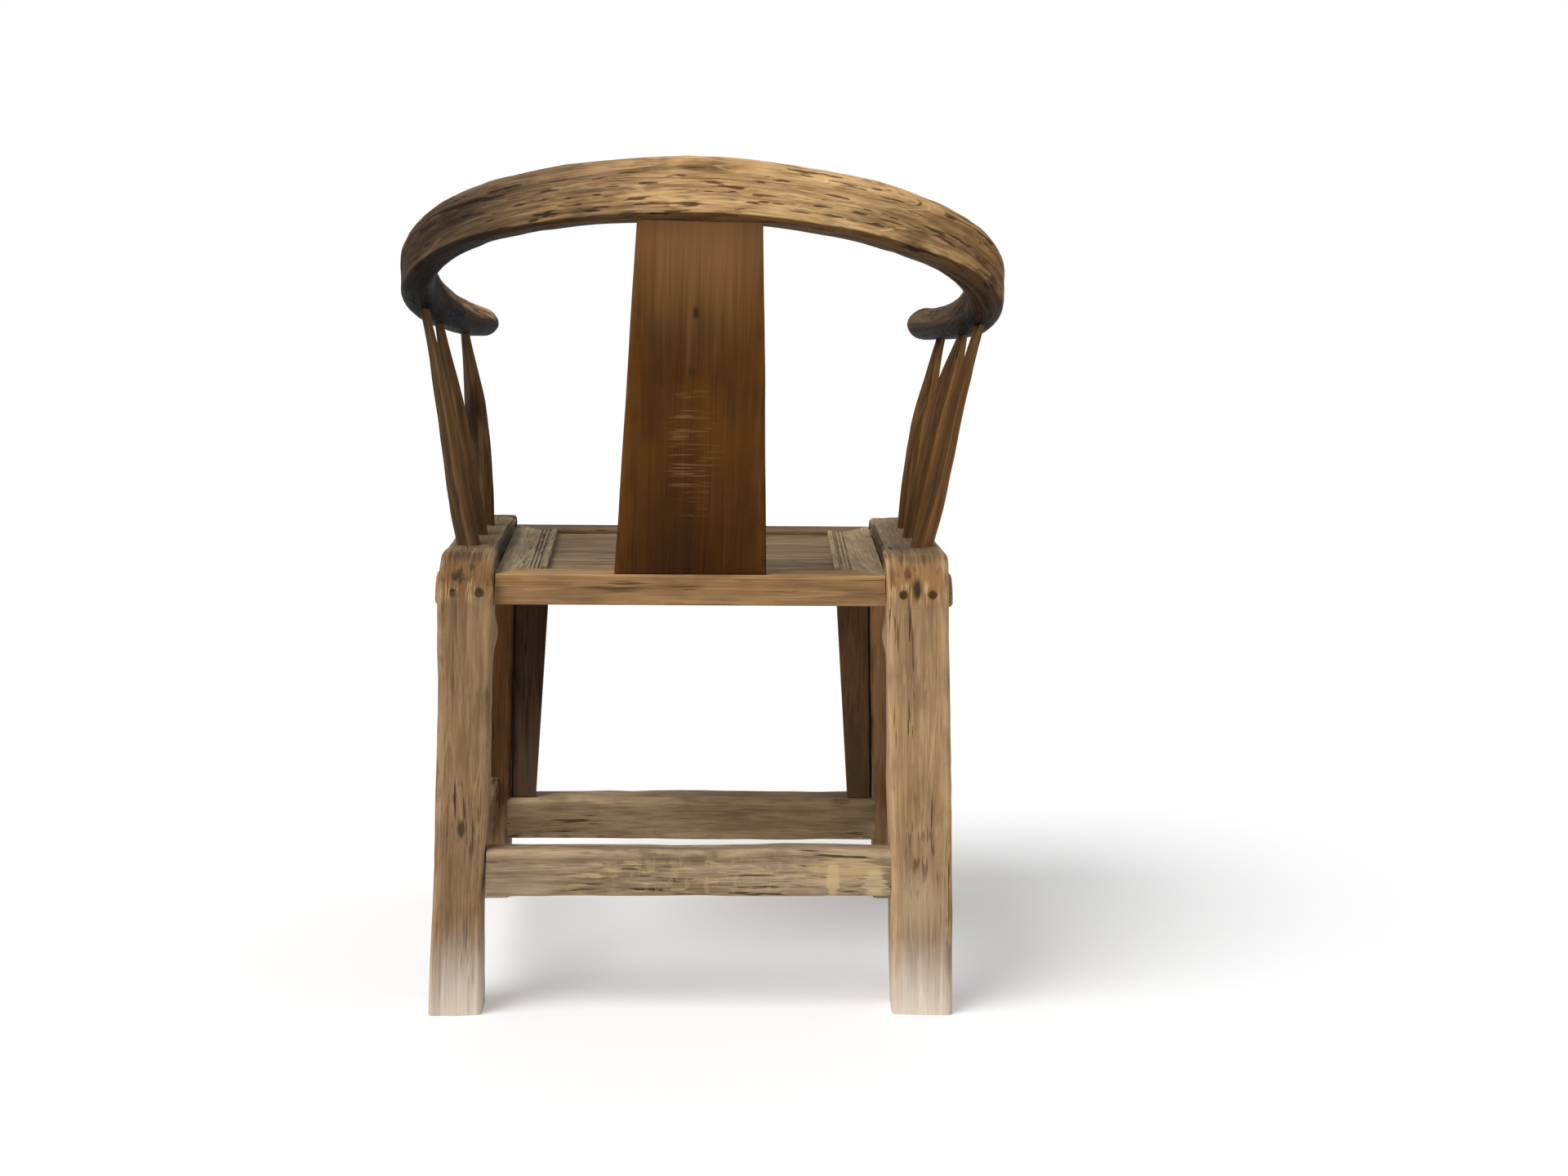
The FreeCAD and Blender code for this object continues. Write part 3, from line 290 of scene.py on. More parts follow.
@dataclass
class Bar:
    """A timber carried along a line of rounded sections.

    Attributes:
        middle: middles of the sections, n by 3.
        across, up: unit directions of the sections' two sides, n by 3 or 3.
        half_across, half_up: half sides of the sections, n.
        corners: radii of the four corners, n by 4 or 4: outer upper, inner upper, inner lower, outer lower.
        along: places of the sections along the straight timber, n.
        outline: the section's points.
        crown: how far the middle of each side stands out.
        worn_off: how far all faces are worn back.
    """

    middle: Array
    across: Array
    up: Array
    half_across: Array
    half_up: Array
    corners: Array
    along: Array
    outline: Outline
    crown: float = 0.0
    worn_off: float = 0.0

    def skin(self, hewing: Hewing) -> Skin:
        """Carry the section along the line.

        Formula: ring = middle + across x + up y with the outline's (x, y), each side crowned by
        crown (1 - t^2), and both shrunk by the hewing's depth as a share of the half side.

        Args:
            hewing: marks of tools, taken in the straight timber.

        Returns:
            The surface, open at both ends.
        """
        table = self.outline.coefficients()
        half_x = self.half_across[:, None]
        half_y = self.half_up[:, None]
        least = np.minimum(half_x, half_y)
        radius = np.minimum(np.atleast_2d(self.corners) @ table[:, 5:].T, 0.94 * least)
        x = table[:, 0] * (half_x - radius) + table[:, 1] * radius
        y = table[:, 2] * (half_y - radius) + table[:, 3] * radius
        grain = np.stack([np.broadcast_to(self.along[:, None], x.shape), x, y - half_y], axis=-1)
        crown = self.crown * least / least.max()
        high_x = x + crown * x / half_x * (1 - (y / half_y) ** 2)
        high_y = y + crown * y / half_y * (1 - (x / half_x) ** 2)
        depth = hewing.depth(grain) + self.worn_off
        x = high_x - depth * x / half_x
        y = high_y - depth * y / half_y
        across = np.broadcast_to(self.across, self.middle.shape)[:, None]
        up = np.broadcast_to(self.up, self.middle.shape)[:, None]
        rings = self.middle[:, None] + across * x[..., None] + up * y[..., None]
        return Skin(rings, grain, np.repeat(table[None, :, 4], len(rings), axis=0))


def place(piece: bpy.types.Object, finish: bpy.types.Material, slot: str, *nodes: str) -> None:
    """Dress a finished piece, let it ride on the chair's one body and stand for its nodes."""
    piece.data.materials.append(finish)
    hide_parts(*nodes)
    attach(piece, "root")
    LOG.info("%s: %d faces", piece.name, len(piece.data.polygons))


# Finishes


def seen(red: int, green: int, blue: int) -> Colour:
    """A colour as a screen shows it, 0 to 255 for each channel, made linear."""
    shares = [item / 255 for item in (red, green, blue)]
    return tuple(item / 12.92 if item <= 0.04045 else ((item + 0.055) / 1.055) ** 2.4 for item in shares)


def times(colour: Colour, factors: Colour) -> Colour:
    """A colour with each channel multiplied."""
    return tuple(item * factor for item, factor in zip(colour, factors))


# Factors of a wood's tone: its grain, its worn edges, its ridges, the dirt in it and its checks
DARK_GRAIN = (0.40, 0.36, 0.32)
LIGHT_GRAIN = (1.85, 1.98, 2.15)
WORN_EDGE = (1.7, 1.75, 1.8)
RIDGE = (1.75, 1.85, 2.0)
DIRT = (0.6, 0.58, 0.55)
CHECK = (0.16, 0.13, 0.11)


@dataclass(frozen=True)
class Signal:
    """A node's output on its sheet, with arithmetic that writes further nodes."""

    sheet: "NodeSheet"
    socket: bpy.types.NodeSocket

    def __add__(self, other: object) -> "Signal":
        """The sum with another signal or a number."""
        return self.sheet.math("ADD", self, other)

    def __sub__(self, other: object) -> "Signal":
        """The difference from another signal or a number."""
        return self.sheet.math("SUBTRACT", self, other)

    def __mul__(self, other: object) -> "Signal":
        """The product with another signal or a number."""
        return self.sheet.math("MULTIPLY", self, other)

    def __abs__(self) -> "Signal":
        """The value without its sign."""
        return self.sheet.math("ABSOLUTE", self)

    def span(self, low: float, high: float, start: float = 0.0, end: float = 1.0) -> "Signal":
        """A smooth, clamped Map Range."""
        values = (self, low, high, start, end)
        return self.sheet.node("MapRange", values, interpolation_type="SMOOTHSTEP")

    def dot(self, other: object) -> "Signal":
        """The dot product with a direction."""
        return self.sheet.node("VectorMath", (self, other), "Value", operation="DOT_PRODUCT")


class NodeSheet:
    """Writes the nodes of a material or of the world in short lines."""

    def __init__(self, owner: bpy.types.Material | bpy.types.World, output: str = "Material") -> None:
        """Start an empty sheet with its output node."""
        owner.use_nodes = True
        self.owner = owner
        self.nodes, self.links = owner.node_tree.nodes, owner.node_tree.links
        self.nodes.clear()
        self.surface = self.nodes.new(f"ShaderNodeOutput{output}").inputs["Surface"]

    def feed(self, socket: bpy.types.NodeSocket, value: object) -> None:
        """Link a socket to a signal, or set its value; a colour gets its alpha."""
        if isinstance(value, Signal):
            self.links.new(value.socket, socket)
        else:
            socket.default_value = (*value, 1.0) if socket.type == "RGBA" else value

    def node(
        self, kind: str, inputs: dict | tuple = (), output: str | int = 0, **settings: object
    ) -> Signal:
        """Add one node.

        Args:
            kind: its type, without the common beginning.
            inputs: values or signals for its inputs, in their order or by name or index.
            output: name or index of the wanted output.
            settings: its other properties.

        Returns:
            The wanted output.
        """
        node = self.nodes.new(f"ShaderNode{kind}")
        for name, value in settings.items():
            setattr(node, name, value)
        for key, value in inputs.items() if isinstance(inputs, dict) else enumerate(inputs):
            self.feed(node.inputs[key], value)
        return Signal(self, node.outputs[output])

    def math(self, kind: str, *values: object) -> Signal:
        """One Math node."""
        return self.node("Math", values, operation=kind)

    def stretch(
        self, vector: Signal, scale: Triple = (1, 1, 1), shift: Triple = (0, 0, 0), turn: Triple = (0, 0, 0)
    ) -> Signal:
        """A Mapping node: turn, then scale and shift the pattern's coordinates."""
        inputs = {"Vector": vector, "Scale": scale, "Location": shift, "Rotation": turn}
        return self.node("Mapping", inputs)

    def noise(
        self, vector: Signal, scale: Triple, detail: float = 3.0, rough: float = 0.55, bend: float = 0.0
    ) -> Signal:
        """A Noise texture's value, with as many lumps a metre along x, y and z as the scale says."""
        inputs = {"Vector": self.stretch(vector, scale), "Scale": 1.0}
        inputs |= {"Detail": detail, "Roughness": rough, "Distortion": bend}
        return self.node("TexNoise", inputs, "Fac")

    def ramp(self, value: Signal, *stops: tuple[float, Colour]) -> Signal:
        """A colour ramp through the stops."""
        colour = self.node("ValToRGB", (value,))
        elements = colour.socket.node.color_ramp.elements
        while len(elements) < len(stops):
            elements.new(0.5)
        for element, (position, stop) in zip(elements, stops):
            element.position = position
            element.color = (*stop, 1.0)
        return colour

    def mix(self, share: object, first: object, second: object, kind: str = "MIX") -> Signal:
        """A mix of two colours, through the Mix node's sockets for colours."""
        return self.node("Mix", {0: share, 6: first, 7: second}, 2, data_type="RGBA", blend_type=kind)

    def either_ray(self, first: str, second: str) -> Signal:
        """1 for rays of two kinds, and 0 for others."""
        rays = (self.node("LightPath", output=f"Is {kind} Ray") for kind in (first, second))
        return self.math("MAXIMUM", *rays)


@dataclass(frozen=True)
class Patch:
    """A spot of another colour on the finished chair: a knot, a stain, torn fibres or bleached wood; some
    spots are painted shade and painted light.

    Attributes:
        middle: its place on the chair, in metres.
        reach: its half sizes along x, y and z.
        colour: its colour, linear.
        share: how far it covers the wood under it.
        soft: share of its size over which it fades.
        ragged: how far the fibres tear its border, in its own half sizes.
        kind: MIX covers the wood, MULTIPLY tints it.
        combed: lines a metre along x, y and z of a pattern that breaks it into thin lines.
        away_from: covers only faces whose normals reach less than a level along a direction, to paint shade
            and light by which way they face.
    """

    middle: Triple
    reach: Triple
    colour: Colour
    share: float = 0.8
    soft: float = 0.6
    ragged: float = 0.6
    kind: str = "MIX"
    combed: Triple | None = None
    away_from: tuple[Triple, float] | None = None

    def lay(self, sheet: NodeSheet, spot: Signal, fibre: Signal, colour: Signal) -> Signal:
        """Cover a colour: 1 inside the ellipsoid and 0 outside, its border moved by the fibres."""
        inverse = tuple(1.0 / item for item in self.reach)
        moved = tuple(-item / reach for item, reach in zip(self.middle, self.reach))
        away = sheet.node("VectorMath", (sheet.stretch(spot, inverse, moved),), "Value", operation="LENGTH")
        mark = ((fibre - 0.5) * (self.ragged * 3.0) + away).span(1.0, 1.0 - self.soft)
        if self.combed is not None:
            mark = mark * sheet.noise(spot, self.combed, 2.0, 0.5).span(0.56, 0.64)
        if self.away_from is not None:
            direction, level = self.away_from
            along = sheet.node("TexCoord", output="Normal").dot(direction)
            mark = mark * along.span(level + 0.15, level - 0.15)
        return sheet.mix(mark * self.share, colour, self.colour, self.kind)


@dataclass(frozen=True)
class Grooves:
    """Dark lines in straight parallel grooves of the seat's end, which follow the splayed side frame.

    Attributes:
        side: 1 on the left and -1 on the right.
        first: where the first groove's middle lies, outward from the seat's middle line at y = 0.
        half: half of a groove's width.
        share: how far the dark lines cover the wood.
        count, pitch: how many there are, and the step between them.
        splay: how far the grooves run inward for each metre toward the rear.
        seat_middle: x of the seat's middle line. ends: y, to both sides, between which they fade out.
        colour: the lines' colour, linear.
    """

    side: float
    first: float
    half: float
    share: float
    count: int = 1
    pitch: float = 0.0044
    splay: float = 0.0337
    seat_middle: float = 0.012
    ends: tuple[float, float] = (0.215, 0.195)
    colour: Colour = (0.022, 0.015, 0.010)

    def lay(self, sheet: NodeSheet, spot: Signal, fibre: Signal, colour: Signal) -> Signal:
        """Fold the distance from the first groove at half the step, inside the row of grooves."""
        past = spot.dot((self.side, self.splay, 0.0)) - (self.first + self.seat_middle * self.side)
        mark = sheet.math("PINGPONG", past, self.pitch / 2).span(self.half * 1.35, self.half * 0.55)
        row = self.pitch * (self.count - 1) / 2
        mark = mark * sheet.math("LESS_THAN", abs(past - row), row + self.pitch / 2)
        mark = mark * abs(spot.dot((0.0, 1.0, 0.0))).span(*self.ends) * fibre.span(0.62, 0.42, 0.45, 1.0)
        return sheet.mix(mark * self.share, colour, self.colour)


@dataclass(frozen=True)
class WoodFinish:
    """An old, oiled and worn wood.

    Attributes:
        name: the material's name.
        tone: the wood's mean colour, linear.
        contrast: how far the grain's dark and light parts leave the tone.
        grain: the way the grain runs in a sawn piece; None for a piece that carries its own.
        fibre, streaks: fine fibres and broad streaks per metre across the grain.
        length: how many times a metre the broad streaks change along the grain.
        checks: share of the surface with dark checks, 0 to 1.
        ridges: strength of the bright lines along the grain.
        rings: how many of them lie between the pattern's lowest and highest values.
        hatch: strength of the short dark and light strokes along the grain.
        relief: depth of the grain in metres.
        rough: roughness.
        wear: how much lighter the worn edges are.
        shift: moves the pattern, so that two pieces differ.
        patches: spots of other colours.
    """

    name: str
    tone: Colour
    contrast: float = 1.0
    grain: Grain | None = None
    fibre: float = 380.0
    streaks: float = 110.0
    length: float = 8.0
    checks: float = 0.4
    ridges: float = 0.35
    rings: float = 8.0
    hatch: float = 0.28
    relief: float = 0.0010
    rough: float = 0.62
    wear: float = 0.7
    shift: Triple = (0.0, 0.0, 0.0)
    patches: tuple[Patch | Grooves, ...] = ()

    def build(self) -> bpy.types.Material:
        """Write the nodes: grain, blotches, worn edges, ridges, checks, pits, patches and relief."""
        sheet = NodeSheet(bpy.data.materials.new(self.name))
        spot = sheet.node("TexCoord", output="Object")
        if self.grain is None:
            timber = sheet.node("Attribute", output="Vector", attribute_name="grain")
            worn = sheet.node("Attribute", output="Fac", attribute_name="worn")
        else:
            timber = sheet.stretch(spot, turn=self.grain.value)
            worn = self.bevelled_edges(sheet)
        timber = sheet.stretch(timber, shift=self.shift)
        wide, long = self.streaks, self.length
        fibre = sheet.noise(timber, (long * 2.6, self.fibre, self.fibre), 3.0, 0.62)
        streak = sheet.noise(timber, (long, wide, wide), 4.0, 0.62, 0.5)
        broad = sheet.noise(timber, (long * 0.4, wide * 0.26, wide * 0.26), 4.0, 0.6, 0.6)
        dark = times(self.tone, tuple(item**self.contrast for item in DARK_GRAIN))
        light = times(self.tone, tuple(item**self.contrast for item in LIGHT_GRAIN))
        tone = fibre * 0.34 + streak * 0.36 + broad * 0.30
        colour = sheet.ramp(tone, (0.35, dark), (0.5, self.tone), (0.65, light))
        blotch = sheet.noise(timber, (9, 16, 16), 4.0, 0.6)
        colour = sheet.mix(1.0, colour, blotch.span(0.3, 0.7, 0.76, 1.22), "MULTIPLY")
        rubbed = sheet.noise(timber, (24, 60, 60)).span(0.34, 0.6)
        colour = sheet.mix(worn * rubbed * self.wear, colour, times(self.tone, WORN_EDGE))
        slow = sheet.noise(timber, (long * 0.22, 21, 21), 2.0, 0.42, 0.4)
        rings = sheet.math("PINGPONG", slow * self.rings, 0.5)
        broken = sheet.noise(timber, (long * 1.5, 90, 90), 2.0).span(0.36, 0.54)
        ridge = rings.span(0.09, 0.02) * broken
        bright = times(self.tone, RIDGE)
        colour = sheet.mix(ridge * self.ridges, colour, bright)
        colour = sheet.mix(rings.span(0.30, 0.50) * broken * (self.ridges * 0.5), colour, dark)
        stroke = sheet.noise(timber, (long * 3.0, 420, 420), 2.0, 0.6)
        hatch = sheet.noise(timber, (7, 40, 40), 2.0).span(0.35, 0.6, 0.3, 1.0) * self.hatch
        colour = sheet.mix(stroke.span(0.46, 0.38) * hatch, colour, bright)
        colour = sheet.mix(stroke.span(0.53, 0.62) * hatch, colour, times(dark, DIRT))
        crack = sheet.noise(timber, (long * 0.16, 30, 30), 1.0, 0.4) - 0.50
        pit = sheet.noise(timber, (long * 2.0, 240, 240), 2.0, 0.6).span(0.585, 0.645)
        check = sheet.math("MAXIMUM", abs(crack).span(0.0045, 0.00135) * broken, pit)
        rare = 0.64 - self.checks * 0.3
        check = check * sheet.noise(timber, (4.5, 24, 24), 2.0).span(rare, rare + 0.10)
        colour = sheet.mix(check * 0.85, colour, times(self.tone, CHECK))
        torn = sheet.noise(timber, (5, 190, 190), 3.0, 0.6)
        for patch in self.patches:
            colour = patch.lay(sheet, spot, torn, colour)
        height = fibre * 0.30 + streak * 0.80 + ridge * 0.40 - check * 0.8
        relief = {"Height": height, "Distance": self.relief, "Strength": 0.8}
        inputs = {
            "Base Color": colour,
            "Roughness": (blotch - 0.5) * 0.25 + self.rough,
            "Specular IOR Level": 0.09,
            "Normal": sheet.node("Bump", relief, "Normal"),
        }
        sheet.feed(sheet.surface, sheet.node("BsdfPrincipled", inputs))
        return sheet.owner

    def bevelled_edges(self, sheet: NodeSheet) -> Signal:
        """Worn edges of a sawn piece: where the normal of a rounded copy leaves the true one."""
        rounded = sheet.node("Bevel", {"Radius": 0.004}, "Normal", samples=4)
        return rounded.dot(sheet.node("NewGeometry", output="True Normal")).span(0.99, 0.85)


# Crest rail


@dataclass(frozen=True)
class CrestRail:
    """The bent and hewn horseshoe timber.

    Attributes:
        half_width, reach, drop: the horseshoe's half width, depth and fall to the tips.
        sag, slim: how much lower the right shoulder lies, and how much slimmer the left one is.
        lift: how much higher the middle of the left arm runs.
        top, back: height and depth of its rearmost top.
        thick, thick_tip, deep, deep_tip: section sizes at the back and at the tips.
        corner, crown: rounding of its edges and crown of its faces.
        lean: lean of the section at the back, as a run over the section's height.
        arm_corner: radius of the arms' inner edges.
        grip: length of the rounded hand grips. closing: how many such lengths they close over.
        power, closed: exponent of the closing, and how far it goes.
        stations: shares of the half width, reach, drop and shoulder difference, and how far the
            section's depth and thickness have gone from the back's to the tip's.
    """

    half_width: float = 0.3345
    reach: float = 0.471
    drop: float = 0.148
    sag: float = 0.0115
    slim: float = 0.0055
    lift: float = 0.0055
    top: float = 0.913
    back: float = 0.288
    thick: float = 0.042
    thick_tip: float = 0.038
    deep: float = 0.061
    deep_tip: float = 0.036
    corner: float = 0.015
    crown: float = 0.0016
    lean: float = 0.008
    arm_corner: float = 0.0172
    grip: float = 0.024
    closing: float = 1.9
    power: float = 2.2
    closed: float = 0.985
    stations: tuple[tuple[float, ...], ...] = (
        (0.000, 0.000, 0.000, 0.00, 0.00, 0.0),
        (0.214, 0.016, 0.007, 0.20, 0.00, 0.0),
        (0.422, 0.054, 0.042, 0.46, 0.00, 0.1),
        (0.617, 0.115, 0.107, 0.68, 0.03, 0.4),
        (0.790, 0.199, 0.209, 0.92, 0.05, 0.8),
        (0.928, 0.308, 0.368, 1.00, 0.08, 1.0),
        (1.000, 0.440, 0.592, 0.96, 0.22, 1.0),
        (0.980, 0.581, 0.802, 0.50, 0.62, 0.6),
        (0.944, 0.722, 0.904, 0.15, 0.92, 0.5),
        (0.903, 0.860, 0.950, 0.00, 1.00, 0.7),
        (0.858, 1.000, 0.985, -0.36, 1.00, 1.0),
    )
    rings: int = 620

    def middle_line(self) -> Array:
        """Places, half thickness, half depth, lean angle and share of reach, from tip to tip."""
        table = np.array(self.stations)
        wide, forward, down, difference, taper, thin = table.T
        half = self.half_width - self.thick_tip / 2 - self.crown
        top = self.top - self.deep / 2 - self.crown
        back = self.back - self.thick / 2 - self.lean / 2
        arms = {}
        for side in Side:
            thick = self.thick + (self.thick_tip - self.thick) * thin
            deep = self.deep + (self.deep_tip - self.deep) * taper
            if side is Side.RIGHT:
                drop = down * self.drop + difference * self.sag
                narrow = np.zeros_like(deep)
            else:
                drop = down * self.drop - self.lift * swell(0.70, 0.28, forward)
                narrow = 0.7 * self.slim * np.clip(difference, 0.0, 1.0)
                deep = deep - self.slim * np.clip(difference, 0.0, 1.0) - 0.003 * (forward > 0.95)
            angle = np.arctan2(self.lean * np.clip(1 - forward / 0.33, 0.0, 1.0), self.deep)
            columns = (
                side.value * (wide * half + narrow / 2),
                back - forward * self.reach,
                top - drop,
                (thick - narrow) / 2,
                deep / 2,
                angle,
                forward * side.value,
            )
            arms[side] = np.stack(columns, axis=1)
        return np.concatenate([arms[Side.RIGHT][:0:-1], arms[Side.LEFT]])

    def bar(self) -> Bar:
        """The rail's sections, closed over each grip: size sqrt(1 - t^2.2) to its end."""
        samples = natural_spline(self.middle_line(), self.rings)
        line = samples[:, :3]
        tangent = np.gradient(line, axis=0)
        tangent /= np.linalg.norm(tangent, axis=1, keepdims=True)
        past = np.sin(np.linspace(0.0, math.pi / 2, 15))[1:]
        before = line[0] - tangent[0] * self.grip * past[::-1, None]
        behind = line[-1] + tangent[-1] * self.grip * past[:, None]
        line = np.concatenate([before, line, behind])
        ends = (len(past), len(past))
        tangent = np.pad(tangent, (ends, (0, 0)), mode="edge")
        samples = np.pad(samples, (ends, (0, 0)), mode="edge")
        outward = np.cross((0.0, 0.0, 1.0), tangent)
        outward /= np.linalg.norm(outward, axis=1, keepdims=True)
        height = np.cross(tangent, outward)
        angle = samples[:, 5:6]
        along = np.concatenate([[0.0], np.cumsum(np.linalg.norm(np.diff(line, axis=0), axis=1))])
        left = np.minimum(along, along[-1] - along)
        past = np.clip(1.0 - left / (self.grip * self.closing), 0.0, 1.0)
        size = np.sqrt(1.0 - (past * self.closed) ** self.power)
        forward = np.abs(samples[:, 6])
        under = smooth_step(0.75, 0.1, forward)
        arm = smooth_step(0.15, 0.45, forward)
        soft = self.corner * samples[:, 4] * 2 / self.deep * size
        inner = soft + (self.arm_corner * size - soft) * arm
        corners = np.stack([soft, inner, inner * (1 - 0.3 * under), soft * (1 - 0.62 * under)], axis=1)
        return Bar(
            middle=line,
            across=outward * np.cos(angle) + height * np.sin(angle),
            up=height * np.cos(angle) - outward * np.sin(angle),
            half_across=samples[:, 3] * size,
            half_up=samples[:, 4] * size,
            corners=corners,
            along=along - along[-1] / 2,
            crown=self.crown,
            outline=Outline(6, 12),
        )

    def build(self, finish: bpy.types.Material) -> None:
        """Hew the rail: long flats and hollows along it, and smaller marks of the adze."""
        layers = ((0.120, 0.030, 0.0013, 11), (0.040, 0.016, 0.0008, 12), (0.015, 0.008, 0.0004, 13))
        skin = self.bar().skin(Hewing(layers))
        place(skin.build("crest_rail_timber"), finish, "crest_wood", "crest_rail")


# Side frames


@dataclass(frozen=True)
class SideFrame:
    """One bent timber: rear leg, side member and front leg, notched round the ends of the seat rails.

    Attributes:
        side: the side it stands on.
        width: its width across the chair.
        half_gap, flare, splay: where its inner face stands, and how it turns and leans.
        base_shift: how far the base stands from the middle of the crest rail.
        back, front: y of its rear and front faces.
        timber: its depth. seat: height of the seat.
        rise, fall: how far its member's top lies over the seat, and how far it falls toward the front.
        rear_notch, front_notch: y of their two side faces. shelf: height of their lower faces.
        bend: outer radius of its corners. strap: wood left outside the notches.
        clear: gap over the ends of the seat rails. grain_start: moves the grain of the two frames apart.
        radii: of its edges, in the order of a bar's corners.
        foot_run: how far the left rear foot's inner and outer faces run outward.
        bump: place along the rear leg, half length and depth of a bump on its inner edge.
    """

    side: Side
    width: float
    half_gap: float = 0.207
    flare: float = 0.017 / 0.508
    splay: float = 0.0125 / 0.480
    base_shift: float = 0.012
    back: float = 0.220
    front: float = -0.288
    timber: float = 0.052
    seat: float = 0.480
    rise: float = 0.020
    fall: float = 0.005
    rear_notch: tuple[float, float] = (0.2022, 0.1558)
    front_notch: tuple[float, float] = (-0.2702, -0.2118)
    shelf: float = 0.4468
    bend: float = 0.048
    strap: float = 0.018
    clear: float = 0.0002
    grain_start: float = 0.7
    radii: tuple[float, ...] = (0.0062, 0.0050, 0.0060, 0.0050)
    foot_run: tuple[float, float] = (0.0052, 0.0045)
    bump: Triple = (0.412, 0.026, 0.0042)

    def lines(self) -> tuple[Array, Array]:
        """Outer and inner line of the timber in its own plane, as (y, z), from foot to foot.

        Formula: straight runs between corners, quarter circles round the bends, and for each shoulder
        of a notch a run on which the outer line rests and the inner one moves along the shoulder.
        """
        back, front, shelf, bend = self.back, self.front, self.shelf, self.bend
        leg_in, leg_out = back - self.timber, front + self.timber
        rear_far, rear_near = self.rear_notch
        front_far, front_near = self.front_notch
        top = self.seat + self.rise
        under = top - self.timber
        high = self.seat + self.clear
        small = bend - self.strap
        outer = [np.array([[back, 0.0]])]
        inner = [np.array([[leg_in, 0.0]])]

        def crown(y: float) -> tuple[float, float]:
            """A place on the member's sloping top."""
            return y, top - self.fall * (back - y) / (back - front)

        def run(count: int, outer_end: tuple, inner_end: tuple) -> None:
            """Lead both lines straight on to their next corners."""
            share = (np.arange(1, count + 1) / count)[:, None]
            for line, end in ((outer, outer_end), (inner, inner_end)):
                start = line[-1][-1]
                line.append(start + (np.array(end) - start) * share)

        def turn(start: float, outer_centre: tuple, inner_centre: tuple) -> None:
            """Lead both lines round their bends, a quarter circle from a starting angle."""
            angle = start + np.arange(1, 31)[:, None] / 30 * math.pi / 2
            ray = np.concatenate([np.cos(angle), np.sin(angle)], axis=1)
            outer.append(np.array(outer_centre) + bend * ray)
            inner.append(np.array(inner_centre) + small * ray)

        run(150, (back, shelf), (leg_in, shelf))
        run(10, (back, shelf), (rear_far, shelf))
        run(3, (back, top - bend), (rear_far, high - small))
        turn(0.0, (back - bend, top - bend), (rear_far - small, high - small))
        run(6, crown(rear_near), (rear_near, high))
        run(10, crown(rear_near), (rear_near, under))
        run(130, crown(front_near), (front_near, under))
        run(10, crown(front_near), (front_near, high))
        start = crown(front + bend)
        run(10, start, (front_far + small, high))
        turn(math.pi / 2, (start[0], start[1] - bend), (front_far + small, high - small))
        run(2, (front, shelf), (front_far, shelf))
        run(10, (front, shelf), (leg_out, shelf))
        run(150, (front, 0.0), (leg_out, 0.0))
        return np.concatenate(outer), np.concatenate(inner)

    def edges(self, outer: Array, along: Array) -> tuple[Array, Array]:
        """How far the inner and outer side faces stray from straight, in metres.

        Formula: slow noise along the timber, and on the left rear leg a foot that runs outward.
        """
        seed = 30 + self.side.value
        inward = 0.0011 * wander(along, 0.09, seed)
        outward = 0.0013 * wander(along, 0.11, seed + 5, (0.0, 0.5))
        if self.side is Side.LEFT:
            low = np.where(outer[:, 0] > 0, outer[:, 1], 1.0)
            inward = inward - self.foot_run[0] * smooth_step(0.26, 0.10, low)
            outward = outward + self.foot_run[1] * smooth_step(0.17, 0.0, low)
        return inward, outward

    def bar(self) -> Bar:
        """The timber's sections on the standing chair."""
        outer, inner = self.lines()
        steps = np.linalg.norm(np.diff(outer, axis=0), axis=1)
        along = np.concatenate([[0.0], np.cumsum(steps)])
        inward, outward = self.edges(outer, along)
        sign = self.side.value
        lean, turn = math.atan(self.splay) * -sign, math.atan(self.flare) * sign
        matrix = np.array(Matrix.Rotation(turn, 3, "Z") @ Matrix.Rotation(lean, 3, "Y"))
        pivot = np.array([self.base_shift + sign * self.half_gap, self.back, self.seat])
        low, high = -inward, self.width + outward
        half = (outer + inner) / 2
        middle = np.stack([sign * (low + high) / 2, half[:, 0] - pivot[1], half[:, 1] - pivot[2]], axis=1)
        away = outer - inner
        reach = np.linalg.norm(away, axis=1)
        up = np.concatenate([np.zeros((len(away), 1)), away / reach[:, None]], axis=1)
        across = matrix @ np.array([sign, 0.0, 0.0])
        thin = smooth_step(0.030, 0.012, reach / 2)[:, None]
        corners = np.array(self.radii) * (1 - thin * (0.15, 0.15, 0.4, 0.4))
        return Bar(
            middle=middle @ matrix.T + pivot,
            across=across,
            up=up @ matrix.T,
            half_across=(high - low) / 2,
            half_up=reach / 2,
            corners=corners,
            along=along + self.grain_start * sign,
            crown=0.0006,
            worn_off=0.0009,
            outline=Outline(4, 14),
        )

    def build(self, finish: bpy.types.Material) -> None:
        """Hew the timber, raise a bump on the rear leg's inner edge and cut the feet level."""
        layers = ((0.150, 0.028, 0.0010, 21), (0.050, 0.014, 0.0006, 22), (0.016, 0.007, 0.0003, 23))
        skin = self.bar().skin(Hewing(layers))
        along, across, depth = np.moveaxis(skin.grain, -1, 0)
        along = along - self.grain_start * self.side.value
        inner_side = smooth_step(-0.2, -1.0, across / self.width * 2) * smooth_step(-0.020, -0.045, depth)
        middle, reach, depth = self.bump
        skin.rings[..., 0] -= self.side.value * depth * swell(middle, reach, along) * inner_side
        skin.rings[[0, -1], :, 2] = 0.0
        skin.rings[..., 2] = np.maximum(skin.rings[..., 2], 0.0)
        skin.close()
        name = f"{self.side.word}_side_frame"
        place(skin.build(f"{name}_timber"), finish, "frame_wood", name)

